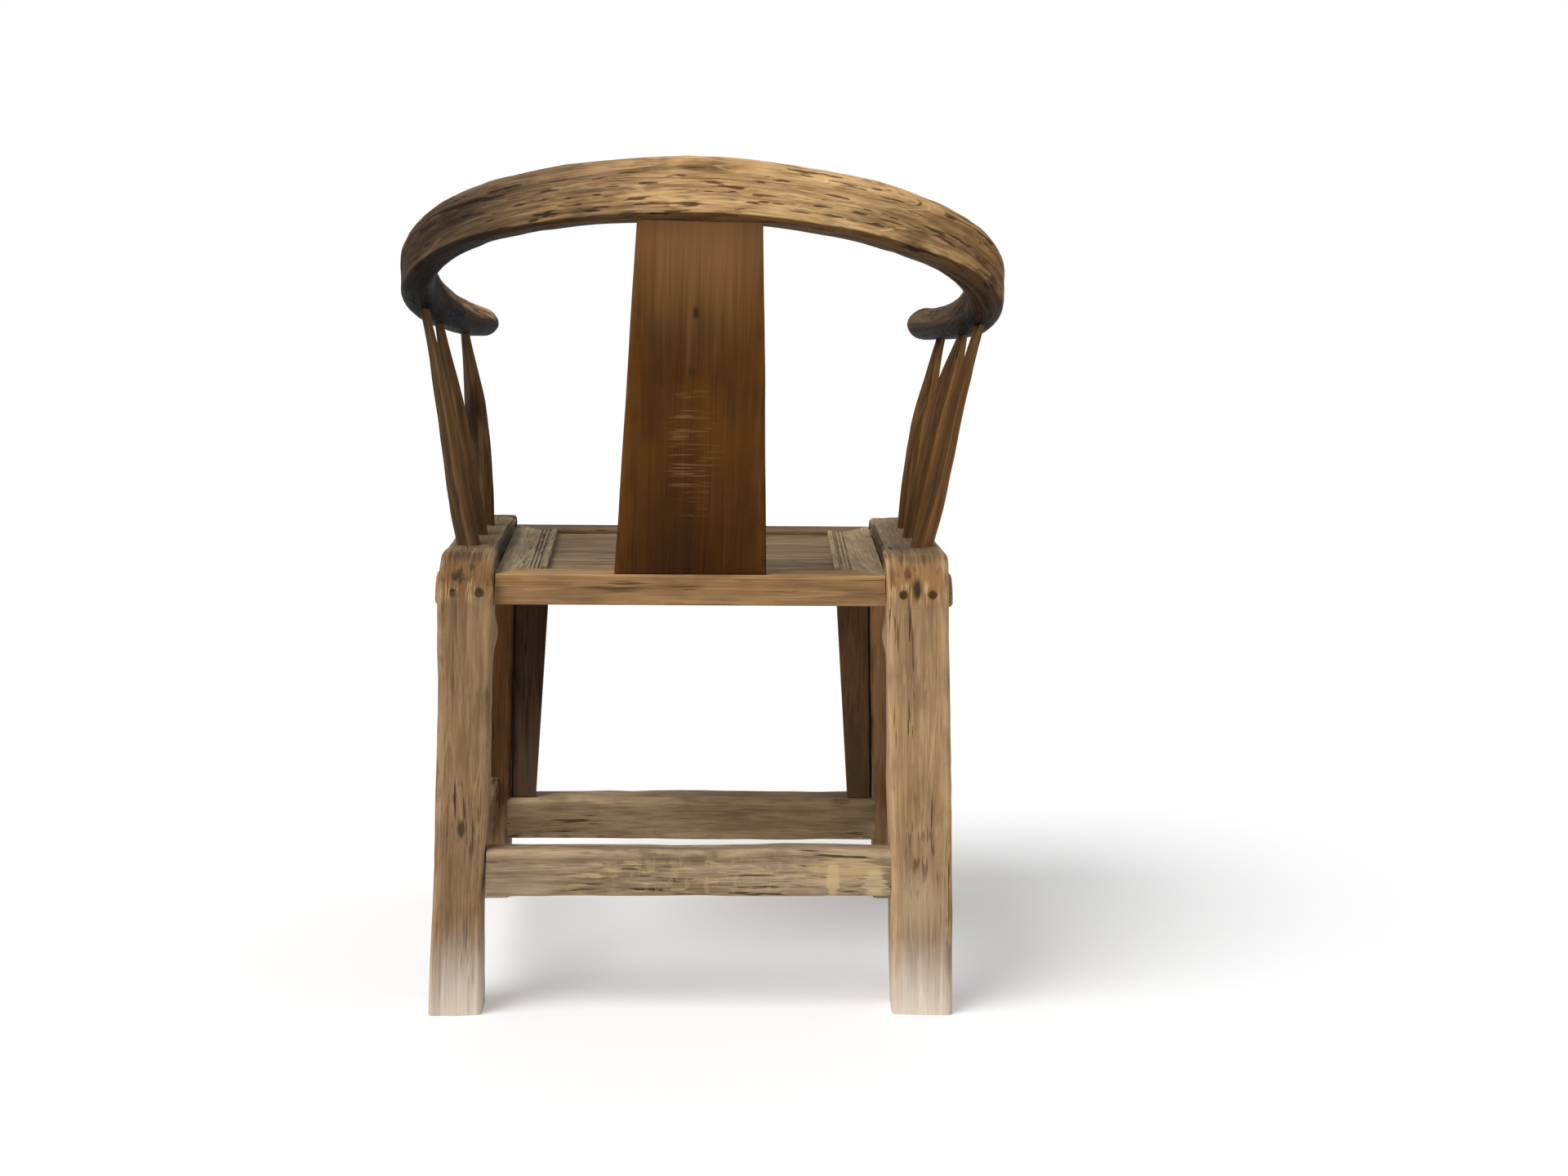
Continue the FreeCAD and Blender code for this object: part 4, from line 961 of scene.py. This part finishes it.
    def spindle_foot(self, back: float, share: float) -> Array:
        """The place on the member's top where a spindle stands: back from the rear, share across it."""
        y = self.back - back
        gap = self.half_gap + back * self.flare
        x = self.base_shift + self.side.value * (gap + self.width * share)
        return np.array([x, y, self.seat + self.rise - self.fall * back / (self.back - self.front)])


# Spindles


SPINDLE_HEIGHTS = (0.00, 0.20, 0.42, 0.64, 0.84, 1.00)


@dataclass(frozen=True)
class Spindle:
    """A whittled spindle between a side member and the rail.

    Attributes:
        name: rear, middle or front.
        foot_back, top_back: how far its ends stand in front of the rear legs' rear faces.
        foot_share: the foot's place across the member, left and right.
        sunk: how far the rail's lower face lies under its middle line there.
        hidden: how far it runs into the member and into the rail.
        out: how far foot and head stand further out than their mortises' middles, left and right.
        widths, depths, bows: shares of the full width, depth and inward bow at the table's heights.
        wide, deep, bow: full sizes.
        right_more: how much wider the upper half is on the right.
    """

    name: str
    foot_back: float
    top_back: float
    foot_share: tuple[float, float]
    sunk: float
    out: tuple[tuple[float, float], tuple[float, float]]
    widths: tuple[float, ...]
    depths: tuple[float, ...]
    bows: tuple[float, ...]
    wide: float = 0.027
    deep: float = 0.019
    bow: float = 0.0045
    hidden: tuple[float, float] = (0.012, 0.014)
    right_more: float = 0.0

    def skin(self, timber: SideFrame, rail: Array, seed: int) -> Skin:
        """Carry a lens section with four arrises from the member into the rail.

        Formula: with t round the section, x = a sign(cos t) |cos t|^(3/2) and y = b sign(sin t)
        |sin t|^(3/2); a, b and the bow run smoothly through the table, and slow noise moves the
        middle, the half sides and the two ridges.

        Args:
            timber: the side frame that it stands on.
            rail: samples of the rail's middle line.
            seed: picks the marks.

        Returns:
            The open surface, from the member to the rail.
        """
        sign = timber.side.value
        foot = timber.spindle_foot(self.foot_back, self.foot_share[0 if sign > 0 else 1])
        arm = rail[rail[:, 0] * sign > 0]
        head = arm[np.argmin(np.abs(arm[:, 1] - (timber.back - self.top_back)))]
        foot_out, head_out = self.out[0 if sign > 0 else 1]
        foot = foot + (sign * foot_out, 0.0, 0.0)
        head = head + (sign * head_out, 0.0, 0.0)
        way = head - foot
        length = np.linalg.norm(way)
        way = way / length
        wide = np.cross((0.0, 1.0, 0.0), way)
        wide /= np.linalg.norm(wide)
        deep = np.cross(way, wide)
        free = length - self.sunk
        level = np.linspace(-self.hidden[0], free + self.hidden[1], 170)
        share = np.clip(level / free, 0.0, 1.0)
        smooth = np.hanning(23)
        smooth /= smooth.sum()

        def even(column: tuple[float, ...]) -> Array:
            """A column of the table along the spindle, its bends smoothed."""
            values = np.interp(share, SPINDLE_HEIGHTS, column)
            return np.convolve(np.pad(values, 11, mode="edge"), smooth, mode="valid")

        drift = wander(level, 0.055, seed)
        swing = wander(level, 0.040, seed + 1, (0.5, 0.0))
        cut = wander(level, 0.018, seed + 2, (0.0, 0.5))
        more = self.right_more * swell(0.80, 0.30, share) if timber.side is Side.RIGHT else 0.0
        half_wide = even(self.widths) * self.wide / 2 * (1 + 0.05 * swing + more)
        half_deep = even(self.depths) * self.deep / 2 * (1 + 0.05 * drift)
        shift = -sign * self.bow * even(self.bows) + 0.0008 * drift + 0.0003 * cut
        angle = np.arange(40) / 40 * 2 * math.pi
        cosine, sine = np.cos(angle), np.sin(angle)
        lens_x = np.sign(cosine) * np.abs(cosine) ** 1.5
        lens_y = np.sign(sine) * np.abs(sine) ** 1.5
        ridge = 0.12 * swing[:, None] * np.abs(sine) ** 3
        x = half_wide[:, None] * (lens_x + ridge)
        y = half_deep[:, None] * lens_y
        grain = np.stack([np.broadcast_to(level[:, None], x.shape), x, y], axis=-1)
        dent = Hewing(((0.030, 0.006, 0.0004, seed + 3),)).depth(grain)
        scale = 1 - dent / np.hypot(half_wide, half_deep)[:, None]
        place_x = (x * scale + shift[:, None])[..., None]
        rings = foot + way * level[:, None, None] + wide * place_x + deep * (y * scale)[..., None]
        # the four arrises are marked as worn, so the finish lightens them: partly real wear, partly a
        # painted highlight along the arrises
        mark = np.maximum(np.abs(cosine), np.abs(sine)) ** 30
        return Skin(rings, grain + 0.13 * seed, np.repeat(mark[None], len(level), axis=0))

    def build(self, timber: SideFrame, rail: Array, finish: bpy.types.Material, seed: int) -> None:
        """Make the spindle of one side."""
        node = f"{timber.side.word}_{self.name}_spindle"
        skin = self.skin(timber, rail, seed)
        skin.close(2)
        place(skin.build(f"{node}_blade"), finish, "spindle_wood", node)


SPINDLES = (
    Spindle(
        name="rear",
        foot_back=0.114,
        top_back=0.196,
        foot_share=(0.56, 0.61),
        sunk=0.027,
        out=((0.0015, 0.002), (0.003, 0.005)),
        widths=(0.93, 0.90, 0.80, 0.62, 0.46, 0.36),
        depths=(0.96, 1.00, 0.96, 0.82, 0.66, 0.56),
        bows=(0.00, 0.10, 0.20, 0.20, 0.10, 0.00),
    ),
    Spindle(
        name="middle",
        foot_back=0.219,
        top_back=0.256,
        foot_share=(0.53, 0.58),
        sunk=0.023,
        out=((0.002, 0.004), (0.002, 0.001)),
        widths=(0.93, 0.96, 0.94, 0.82, 0.58, 0.36),
        depths=(0.96, 1.00, 1.00, 0.86, 0.66, 0.56),
        bows=(0.00, 0.30, 0.55, 0.50, 0.25, 0.00),
        right_more=0.5,
    ),
    Spindle(
        name="front",
        foot_back=0.323,
        top_back=0.355,
        foot_share=(0.49, 0.54),
        sunk=0.020,
        out=((0.003, 0.001), (0.005, 0.003)),
        widths=(0.93, 1.00, 1.00, 0.92, 0.60, 0.38),
        depths=(0.96, 1.00, 1.00, 0.90, 0.72, 0.56),
        bows=(0.00, 0.55, 1.00, 0.95, 0.50, 0.00),
    ),
)


# Splat and stretchers


def hew(bar: Bar, layers: tuple, name: str, finish: bpy.types.Material, slot: str, node: str) -> None:
    """Hew a straight bar, close its ends and place it."""
    skin = bar.skin(Hewing(layers))
    skin.close(2)
    place(skin.build(name), finish, slot, node)


@dataclass(frozen=True)
class Splat:
    """The leaning plank between the rear seat rail and the crest rail.

    Attributes:
        foot: middle of its rear lower edge.
        rise, lean: how far it rises, and how far it leans back over that.
        wide_low, wide_high, drift: its widths and how far its top stands to the right.
        thick: its thickness.
    """

    foot: Triple = (0.012, 0.199, 0.480)
    rise: float = 0.372
    lean: float = 0.071
    wide_low: float = 0.162
    wide_high: float = 0.128
    drift: float = 0.008
    thick: float = 0.014

    def build(self, finish: bpy.types.Material) -> None:
        """Saw the plank in level sections, its middle and width running straight with the height."""
        height = np.linspace(0.0, self.rise + 0.016, 150)
        share = height / self.rise
        x, y, z = self.foot
        slant = self.thick * math.hypot(self.rise, self.lean) / self.rise
        stray = 0.0006 * wander(height, 0.07, 41)
        middle = np.stack([x - self.drift * share + stray, y - slant / 2 + self.lean * share, z + height], 1)
        bar = Bar(
            middle=middle,
            across=np.array([1.0, 0.0, 0.0]),
            up=np.array([0.0, 1.0, 0.0]),
            half_across=(self.wide_low + (self.wide_high - self.wide_low) * share) / 2,
            half_up=np.full_like(height, slant / 2),
            corners=np.array([0.0026, 0.0026, 0.0018, 0.0018]),
            along=height,
            outline=Outline(3, 40),
        )
        layers = ((0.120, 0.030, 0.0004, 42), (0.030, 0.012, 0.0002, 43))
        hew(bar, layers, "splat_plank", finish, "splat_wood", "splat")


@dataclass(frozen=True)
class Stretcher:
    """A cross stretcher between the side frames.

    Attributes:
        node: the node it stands for.
        ends: x of its two shoulders, right and left.
        back, thick: y of its rear face and its thickness.
        top, tall: height of its top face and its height.
        corner: radius of its worn edges.
        seed: picks its marks.
    """

    node: str
    ends: tuple[float, float]
    back: float
    thick: float
    top: float
    tall: float
    corner: float
    seed: int

    def build(self, finish: bpy.types.Material) -> None:
        """Hew the stretcher: a rounded bar whose faces wander by slow noise."""
        x = np.linspace(self.ends[0], self.ends[1], 190)
        centre = (self.back - self.thick / 2, self.top - self.tall / 2)
        stray = 0.0009 * wander(x, 0.12, self.seed)
        bar = Bar(
            middle=np.stack([x, np.full_like(x, centre[0]), centre[1] + stray], axis=1),
            across=np.array([0.0, 1.0, 0.0]),
            up=np.array([0.0, 0.0, 1.0]),
            half_across=np.full_like(x, self.thick / 2),
            half_up=self.tall / 2 + 0.0010 * wander(x, 0.09, self.seed + 1, (0.0, 0.5)),
            corners=np.full(4, self.corner),
            along=x,
            crown=0.0004,
            outline=Outline(4, 14),
        )
        layers = ((0.110, 0.024, 0.0009, self.seed + 2), (0.030, 0.010, 0.0004, self.seed + 3))
        hew(bar, layers, f"{self.node}_bar", finish, "stretcher_wood", self.node)


# Stage, light and camera


@dataclass(frozen=True)
class Studio:
    """The floor, the light and the camera.

    Attributes:
        eye: place of the camera.
        yaw, pitch, roll: its turn toward the sitter's right, its tilt down and its roll, in radians.
        focal_pixels, frame_width: focal length and width of the picture, in pixels.
        sensor: the sensor's width in millimetres.
        floor_reach, floor_glow: half side of the floor, and what it adds to its own light.
        world_light: strength of the world's light on the chair.
        lamp_energy, lamp_angle, lamp_toward: the lamp's strength, width and heading.
    """

    eye: Triple = (-0.00134, 2.5200, 0.79429)
    yaw: float = math.radians(2.123)
    pitch: float = math.radians(8.043)
    roll: float = math.radians(0.592)
    focal_pixels: float = 2690.56
    frame_width: float = 1920.0
    sensor: float = 36.0
    floor_reach: float = 14.0
    floor_glow: float = 0.22
    world_light: float = 0.47
    lamp_energy: float = 2.35
    lamp_angle: float = math.radians(38.0)
    lamp_toward: Triple = (-0.62, -0.50, -0.95)

    def add_camera(self) -> None:
        """Stand the camera behind the chair, as the photograph was taken."""
        data = bpy.data.cameras.new("view")
        data.sensor_fit = "HORIZONTAL"
        data.sensor_width = self.sensor
        data.lens = self.focal_pixels * self.sensor / self.frame_width
        camera = add_object("view", data)
        heading = Matrix.Rotation(math.pi - self.yaw, 4, "Z")
        tilt = Matrix.Rotation(math.pi / 2 - self.pitch, 4, "X")
        roll = Matrix.Rotation(self.roll, 4, "Z")
        camera.matrix_world = Matrix.Translation(self.eye) @ heading @ tilt @ roll
        bpy.context.scene.camera = camera

    def add_floor(self) -> None:
        """A wide white floor that keeps the chair's shadow."""
        mesh = bpy.data.meshes.new("floor")
        corners = ((-1, -1), (1, -1), (1, 1), (-1, 1))
        places = [(x * self.floor_reach, y * self.floor_reach, 0.0) for x, y in corners]
        mesh.from_pydata(places, [], [(0, 1, 2, 3)])
        sheet = NodeSheet(bpy.data.materials.new("pale_floor"))
        inputs = {"Base Color": (0.80, 0.80, 0.80), "Roughness": 1.0, "Specular IOR Level": 0.0}
        strength = sheet.either_ray("Camera", "Glossy") * self.floor_glow
        glow = sheet.node("Emission", {"Strength": strength})
        both = sheet.node("AddShader", (sheet.node("BsdfPrincipled", inputs), glow))
        sheet.feed(sheet.surface, both)
        mesh.materials.append(sheet.owner)
        add_object("floor", mesh)

    def add_light(self) -> None:
        """A pale world, and a broad soft lamp high on the photograph's left."""
        world = bpy.data.worlds.new("studio")
        sheet = NodeSheet(world, "World")
        shown = sheet.either_ray("Camera", "Transmission")
        strength = sheet.node("MapRange", (shown, 0.0, 1.0, self.world_light, 1.0))
        white = {"Color": (1.0, 1.0, 1.0), "Strength": strength}
        sheet.feed(sheet.surface, sheet.node("Background", white))
        bpy.context.scene.world = world
        lamp = bpy.data.lights.new("key", "SUN")
        lamp.energy = self.lamp_energy
        lamp.angle = self.lamp_angle
        key = add_object("key", lamp)
        key.rotation_mode = "QUATERNION"
        key.rotation_quaternion = Vector(self.lamp_toward).to_track_quat("-Z", "Y")

    def build(self) -> None:
        """Set up the stage with plain view settings."""
        self.add_camera()
        self.add_floor()
        self.add_light()
        bpy.context.scene.view_settings.view_transform = "Standard"


# Finishes of the chair's pieces


UPWARD = (0.0, 0.0, 1.0)
DOWNWARD = (0.0, 0.0, -1.0)
RIGHTWARD = (-1.0, 0.0, 0.0)


def knot(x: float, y: float, z: float, across: float, tall: float, share: float = 0.8) -> Patch:
    """A dark knot of two half sizes, in metres."""
    return Patch((x, y, z), (across, 0.02, tall), seen(48, 36, 24), share, 0.7, 0.35)


def tint(middle: Triple, reach: Triple, colour: Colour, soft: float = 0.9, ragged: float = 0.3) -> Patch:
    """A place where the wood is darker or of another hue, as factors of its colour."""
    return Patch(middle, reach, colour, 1.0, soft, ragged, "MULTIPLY")


def facing(middle: Triple, reach: Triple, colour: Colour, direction: Triple, level: float) -> Patch:
    """A tint on the faces of one place that turn away from a direction: painted shade where it darkens them,
    painted light where it lightens them.
    """
    return replace(tint(middle, reach, colour, 0.4, 0.2), away_from=(direction, level))


def scratches(middle: Triple, reach: Triple, colour: Colour, combed: Triple, share: float) -> Patch:
    """Thin lines of another colour inside a soft ellipsoid."""
    return Patch(middle, reach, colour, share, 0.6, 0.3, "MIX", combed)


def leg_patches(side: float, inner: float, outer: float, grey: Colour, shade: Colour) -> tuple[Patch, ...]:
    """What both side frames show: torn bends, bleached feet and a grey member top, with painted shade on the
    member's inner faces and on the front leg.

    Args:
        side: 1 on the left and -1 on the right.
        inner, outer: x of the rear leg's middle at the seat and at the floor.
        grey, shade: tints of the member's grey top, and painted shade on the front leg.

    Returns:
        The patches, in the order in which they are laid.
    """
    beside = (inner - 0.03 * side, -0.04, 0.487)
    return (
        tint((inner + 0.008 * side, -0.02, 0.5), (0.09, 0.26, 0.03), grey, 0.5),
        # painted shade: the member's faces that turn inward, under the seat, are darkened
        facing(beside, (0.03, 0.24, 0.026), (0.34, 0.31, 0.28), (side, 0, 0), -0.4),
        # painted shade on the front leg, seen under the seat past the rear leg
        tint((outer, -0.262, 0.33), (0.09, 0.07, 0.33), shade, 0.4),
        Patch((inner, 0.215, 0.476), (0.05, 0.05, 0.026), seen(144, 101, 56), 0.62, 0.4, 0.6),
        Patch((inner, 0.213, 0.501), (0.046, 0.05, 0.011), seen(66, 46, 28), 0.75, 0.7, 0.5),
        scratches((inner, 0.222, 0.48), (0.04, 0.05, 0.022), seen(56, 38, 24), (150, 40, 50), 0.65),
        scratches((inner, 0.222, 0.464), (0.044, 0.05, 0.015), seen(212, 178, 130), (420, 30, 34), 0.6),
        Patch((outer, 0.2, -0.012), (0.09, 0.08, 0.132), seen(242, 230, 214), 0.92, 0.96, 0.16),
        Patch((outer, -0.262, -0.01), (0.09, 0.08, 0.09), seen(190, 176, 156), 0.7, 0.95, 0.16),
    )


CREST_WOOD = WoodFinish(
    "crest_rail_wood",
    seen(178, 141, 95),
    contrast=0.95,
    length=12.0,
    fibre=520.0,
    streaks=190.0,
    checks=0.9,
    ridges=0.85,
    rings=10.0,
    hatch=0.34,
    relief=0.0022,
    patches=(
        tint((0.46, 0.15, 0.82), (0.46, 0.9, 0.6), (0.24, 0.24, 0.27), 0.85, 0.2),
        tint((0.46, 0.15, 0.82), (0.5, 0.9, 0.6), (0.37, 0.37, 0.42), 0.56, 0.25),
        tint((0.4, 0.02, 0.8), (0.15, 0.3, 0.3), (0.76, 0.66, 0.54), 0.8, 0.2),
        tint((-0.4, 0.1, 0.79), (0.2, 0.3, 0.18), (0.45, 0.37, 0.24), 0.7),
        tint((-0.14, 0.28, 0.89), (0.16, 0.1, 0.1), (1.18, 1.22, 1.28), 0.9, 0.4),
        # painted shade on the right arm, partly also its greyer wood
        tint((-0.29, -0.11, 0.765), (0.1, 0.24, 0.09), (0.18, 0.18, 0.2), 0.4),
        tint((-0.225, 0.24, 0.837), (0.026, 0.05, 0.018), (0.4, 0.39, 0.4), 0.8, 0.5),
        tint((-0.02, 0.27, 0.905), (0.05, 0.05, 0.008), (0.6, 0.57, 0.55), 0.8, 0.5),
        # painted shade: the left arm's sides and underside are darkened
        facing((0.27, -0.08, 0.76), (0.13, 0.24, 0.12), (0.26, 0.24, 0.22), UPWARD, 0.08),
        # painted light: the left arm's upward faces are lightened as if lit from above
        facing((0.27, -0.1, 0.8), (0.13, 0.22, 0.14), (2.9, 2.7, 2.4), DOWNWARD, -0.15),
        # painted shade: downward faces of the right arm and of the whole rail are darkened
        facing((-0.29, -0.1, 0.76), (0.12, 0.24, 0.11), (0.6, 0.48, 0.38), UPWARD, 0.1),
        facing((0.0, 0.0, 0.85), (2.0, 2.0, 2.0), (0.2, 0.17, 0.14), UPWARD, -0.22),
        knot(0.108, 0.285, 0.868, 0.018, 0.005, 0.6),
    ),
)
LEFT_FRAME_WOOD = WoodFinish(
    "left_frame_wood",
    seen(138, 110, 79),
    contrast=0.48,
    streaks=150.0,
    fibre=460.0,
    length=6.0,
    checks=0.34,
    ridges=0.42,
    hatch=0.26,
    patches=(
        *leg_patches(1, 0.2485, 0.2575, (0.62, 0.68, 0.68), (0.3, 0.205, 0.125)),
        tint((0.2485, 0.21, 0.485), (0.05, 0.05, 0.034), (0.78, 0.8, 0.84), 0.5),
        knot(0.26, 0.22, 0.48, 0.008, 0.009),
        knot(0.2349, 0.22, 0.4625, 0.0072, 0.0068),
        knot(0.2615, 0.22, 0.4615, 0.0065, 0.0065, 0.7),
        knot(0.256, 0.22, 0.207, 0.006, 0.013),
        knot(0.262, 0.22, 0.24, 0.0014, 0.028, 0.9),
        knot(0.262, 0.22, 0.366, 0.005, 0.018, 0.35),
        scratches((0.256, 0.22, 0.215), (0.026, 0.03, 0.06), seen(60, 44, 30), (330, 40, 34), 0.7),
        scratches((0.25, 0.22, 0.36), (0.035, 0.03, 0.09), seen(168, 138, 102), (260, 40, 20), 0.5),
    ),
)
RIGHT_FRAME_WOOD = replace(
    LEFT_FRAME_WOOD,
    name="right_frame_wood",
    tone=seen(158, 127, 92),
    contrast=0.45,
    shift=(0.4, 0.2, 0.1),
    patches=(
        *leg_patches(-1, -0.229, -0.242, (0.52, 0.58, 0.62), (0.78, 0.64, 0.56)),
        knot(-0.2285, 0.22, 0.4685, 0.008, 0.016, 0.9),
        knot(-0.2134, 0.22, 0.4625, 0.006, 0.006, 0.7),
        knot(-0.2446, 0.22, 0.4625, 0.007, 0.006),
        knot(-0.206, 0.22, 0.33, 0.0014, 0.02, 0.7),
        knot(-0.248, 0.22, 0.225, 0.0014, 0.03),
        Patch((-0.236, 0.22, 0.125), (0.04, 0.03, 0.05), seen(204, 180, 148), 0.5, 0.8, 0.4),
        scratches((-0.238, 0.22, 0.19), (0.03, 0.03, 0.08), seen(70, 52, 36), (330, 40, 34), 0.6),
        scratches((-0.23, 0.22, 0.34), (0.035, 0.03, 0.1), seen(190, 162, 124), (260, 40, 20), 0.5),
    ),
)
SPINDLE_WOOD = WoodFinish(
    "spindle_wood",
    seen(99, 73, 44),
    contrast=0.9,
    checks=0.35,
    # lightens the arrises: wear, and partly a painted highlight
    wear=0.95,
    length=6.0,
    ridges=0.5,
    patches=(
        # painted shade: facets that face the chair's left are darkened and greyed to stress the split at the
        # arris
        facing((0.0, 0.0, 0.62), (2.0, 2.0, 2.0), (0.5, 0.5, 0.54), RIGHTWARD, 0.0),
        tint((-0.28, 0.0, 0.62), (0.12, 0.5, 0.4), (1.4, 1.24, 1.0), 0.4),
        tint((0.276, -0.1, 0.625), (0.014, 0.09, 0.055), (0.25, 0.2, 0.17), 0.7, 0.5),
    ),
)
SPLAT_WOOD = WoodFinish(
    "splat_wood",
    seen(83, 50, 14),
    contrast=0.42,
    checks=0.15,
    streaks=90.0,
    length=3.0,
    ridges=0.22,
    rings=5.0,
    hatch=0.16,
    relief=0.0005,
    patches=(
        Patch((0.0, 0.27, 0.9), (0.13, 0.07, 0.24), seen(158, 117, 74), 0.8, 0.95, 0.2),
        tint((0.012, 0.2, 0.44), (0.14, 0.1, 0.21), (0.42, 0.33, 0.1), 0.9, 0.15),
        scratches((0.012, 0.22, 0.62), (0.034, 0.05, 0.1), seen(140, 104, 66), (22, 22, 420), 0.45),
        knot(0.007, 0.252, 0.757, 0.0052, 0.01, 0.85),
        knot(0.011, 0.24, 0.6965, 0.005, 0.0065, 0.6),
    ),
)
REAR_STRETCHER_WOOD = WoodFinish(
    "rear_stretcher_wood",
    seen(147, 125, 98),
    contrast=0.75,
    checks=0.5,
    ridges=0.45,
    patches=(
        tint((0.2, 0.215, 0.145), (0.06, 0.03, 0.03), (0.95, 0.98, 1.05)),
        tint((0.02, 0.215, 0.14), (0.1, 0.03, 0.02), (0.7, 0.68, 0.66), 0.9, 0.6),
        scratches((0.0, 0.215, 0.156), (0.26, 0.03, 0.03), seen(200, 172, 124), (40, 40, 300), 0.65),
        scratches((-0.02, 0.215, 0.156), (0.22, 0.03, 0.03), seen(196, 168, 122), (150, 40, 60), 0.3),
        Patch((-0.16, 0.215, 0.163), (0.046, 0.03, 0.012), seen(200, 172, 124), 0.68, 0.2, 0.8),
        Patch((-0.143, 0.215, 0.15), (0.008, 0.03, 0.022), seen(206, 180, 132), 0.7, 0.25, 0.5),
        Patch((-0.188, 0.215, 0.146), (0.014, 0.03, 0.018), seen(206, 184, 140), 0.7, 0.25, 0.8),
    ),
)
FRONT_STRETCHER_WOOD = WoodFinish(
    "front_stretcher_wood",
    seen(158, 134, 102),
    contrast=0.55,
    checks=0.25,
    shift=(0.3, 0.0, 0.0),
    patches=(tint((0.22, -0.24, 0.1), (0.16, 0.04, 0.05), (0.62, 0.6, 0.58)),),
)
BOARD_WOOD = WoodFinish(
    "board_wood",
    seen(131, 108, 79),
    1.0,
    Grain.ALONG_X,
    ridges=0.7,
    length=5.0,
    patches=(
        scratches((0.0, 0.0, 0.468), (0.22, 0.24, 0.06), seen(186, 164, 126), (18, 190, 40), 0.45),
        scratches((0.0, 0.0, 0.468), (0.22, 0.24, 0.06), seen(58, 46, 34), (14, 150, 40), 0.5),
    ),
)


def end_wood(side: Side, tone: Colour, shift: Triple, groove_darkness: float) -> WoodFinish:
    """Grey wood of a seat's end, with dark lines in its three reeds and in its seam with the bead strip."""
    reeds = Grooves(side.value, 0.17036, 0.0012, groove_darkness, 3)
    seam = Grooves(side.value, 0.1677, 0.0008, groove_darkness)
    return WoodFinish(f"{side.word}_end_wood", tone, 0.6, Grain.ALONG_Y, shift=shift, patches=(reeds, seam))


def apron(side: Side, tone: Colour) -> WoodFinish:
    """Dark wood of a side apron, paler toward its lower end, with a painted black shadow in the gap at the
    leg.
    """
    sign = side.value
    low = Patch((0.2 * sign + 0.01, -0.25, 0.15), (0.06, 0.05, 0.13), seen(104, 84, 62), 0.5, 0.9, 0.3)

    def gap(z: float) -> Patch:
        """A length of the gap's painted shadow: its x follows the leg, which leans outward below the seat.
        """
        x = 0.012 + sign * (0.2231 + 0.026 * (0.48 - z))
        # painted shadow: a near-black line in the gap between front leg and apron
        return Patch((x, -0.25, z), (0.0042, 0.08, 0.075), seen(14, 10, 8), 0.92, 0.35, 0.0)

    gap_shadows = [gap(z) for z in (0.43, 0.36, 0.29, 0.22, 0.15)]
    return WoodFinish(f"{side.word}_apron_wood", tone, 0.7, Grain.ALONG_Z, patches=(low, *gap_shadows))


SAWN_WOODS = {
    WoodFinish("rear_rail_wood", seen(152, 117, 78), 0.45, Grain.ALONG_X, length=5.0): ("rear_seat_rail",),
    WoodFinish("front_rail_wood", seen(112, 88, 62), 0.8, Grain.ALONG_X, shift=(0.2, 0.1, 0)): (
        "front_seat_rail",
    ),
    end_wood(Side.LEFT, seen(143, 125, 97), (0, 0, 0), 0.42): ("left_end_rail", "left_panel_bead"),
    end_wood(Side.RIGHT, seen(155, 134, 102), (0.3, 0.1, 0), 0.6): ("right_end_rail", "right_panel_bead"),
    WoodFinish("stretcher_wood", seen(120, 94, 66), 0.8, Grain.ALONG_Y): (
        "left_side_stretcher",
        "right_side_stretcher",
    ),
    BOARD_WOOD: ("seat_rear_board", "seat_front_board"),
    apron(Side.LEFT, seen(55, 37, 22)): ("left_front_apron",),
    apron(Side.RIGHT, seen(98, 71, 46)): ("right_front_apron",),
    WoodFinish("apron_head_wood", seen(62, 42, 27), 0.7, Grain.ALONG_X): ("front_apron_head",),
    WoodFinish("batten_wood", seen(96, 74, 50), 0.8, Grain.ALONG_Y): (
        "left_seat_batten",
        "right_seat_batten",
    ),
    WoodFinish("peg_wood", seen(70, 52, 36), 0.8, Grain.ALONG_Y): ("rear_corner_pegs", "front_corner_pegs"),
}


def dress_sawn_pieces() -> None:
    """Give every piece that keeps its own mesh the finish of its wood."""
    for wood, names in SAWN_WOODS.items():
        finish = wood.build()
        for name in names:
            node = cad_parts[name]
            node.data.materials.clear()
            node.data.materials.append(finish)


def main() -> None:
    """Build the stage and the chair's pieces in order, and dress the sawn pieces."""
    logging.basicConfig(level=logging.INFO, format="%(name)s: %(message)s")
    Studio().build()
    rail = CrestRail()
    rail.build(CREST_WOOD.build())
    line = rail.bar().middle
    timbers = (SideFrame(Side.LEFT, 0.059), SideFrame(Side.RIGHT, 0.068))
    spindle_finish = SPINDLE_WOOD.build()
    for timber, wood in zip(timbers, (LEFT_FRAME_WOOD, RIGHT_FRAME_WOOD)):
        timber.build(wood.build())
        for number, spindle in enumerate(SPINDLES):
            spindle.build(timber, line, spindle_finish, 60 + 10 * number + 3 * timber.side.value)
    Splat().build(SPLAT_WOOD.build())
    rear = Stretcher("rear_stretcher", (-0.206, 0.230), 0.216, 0.030, 0.182, 0.051, 0.005, 80)
    rear.build(REAR_STRETCHER_WOOD.build())
    front = Stretcher("front_stretcher", (-0.224, 0.248), -0.235, 0.048, 0.132, 0.055, 0.006, 90)
    front.build(FRONT_STRETCHER_WOOD.build())
    dress_sawn_pieces()


if __name__ == "__main__":
    main()
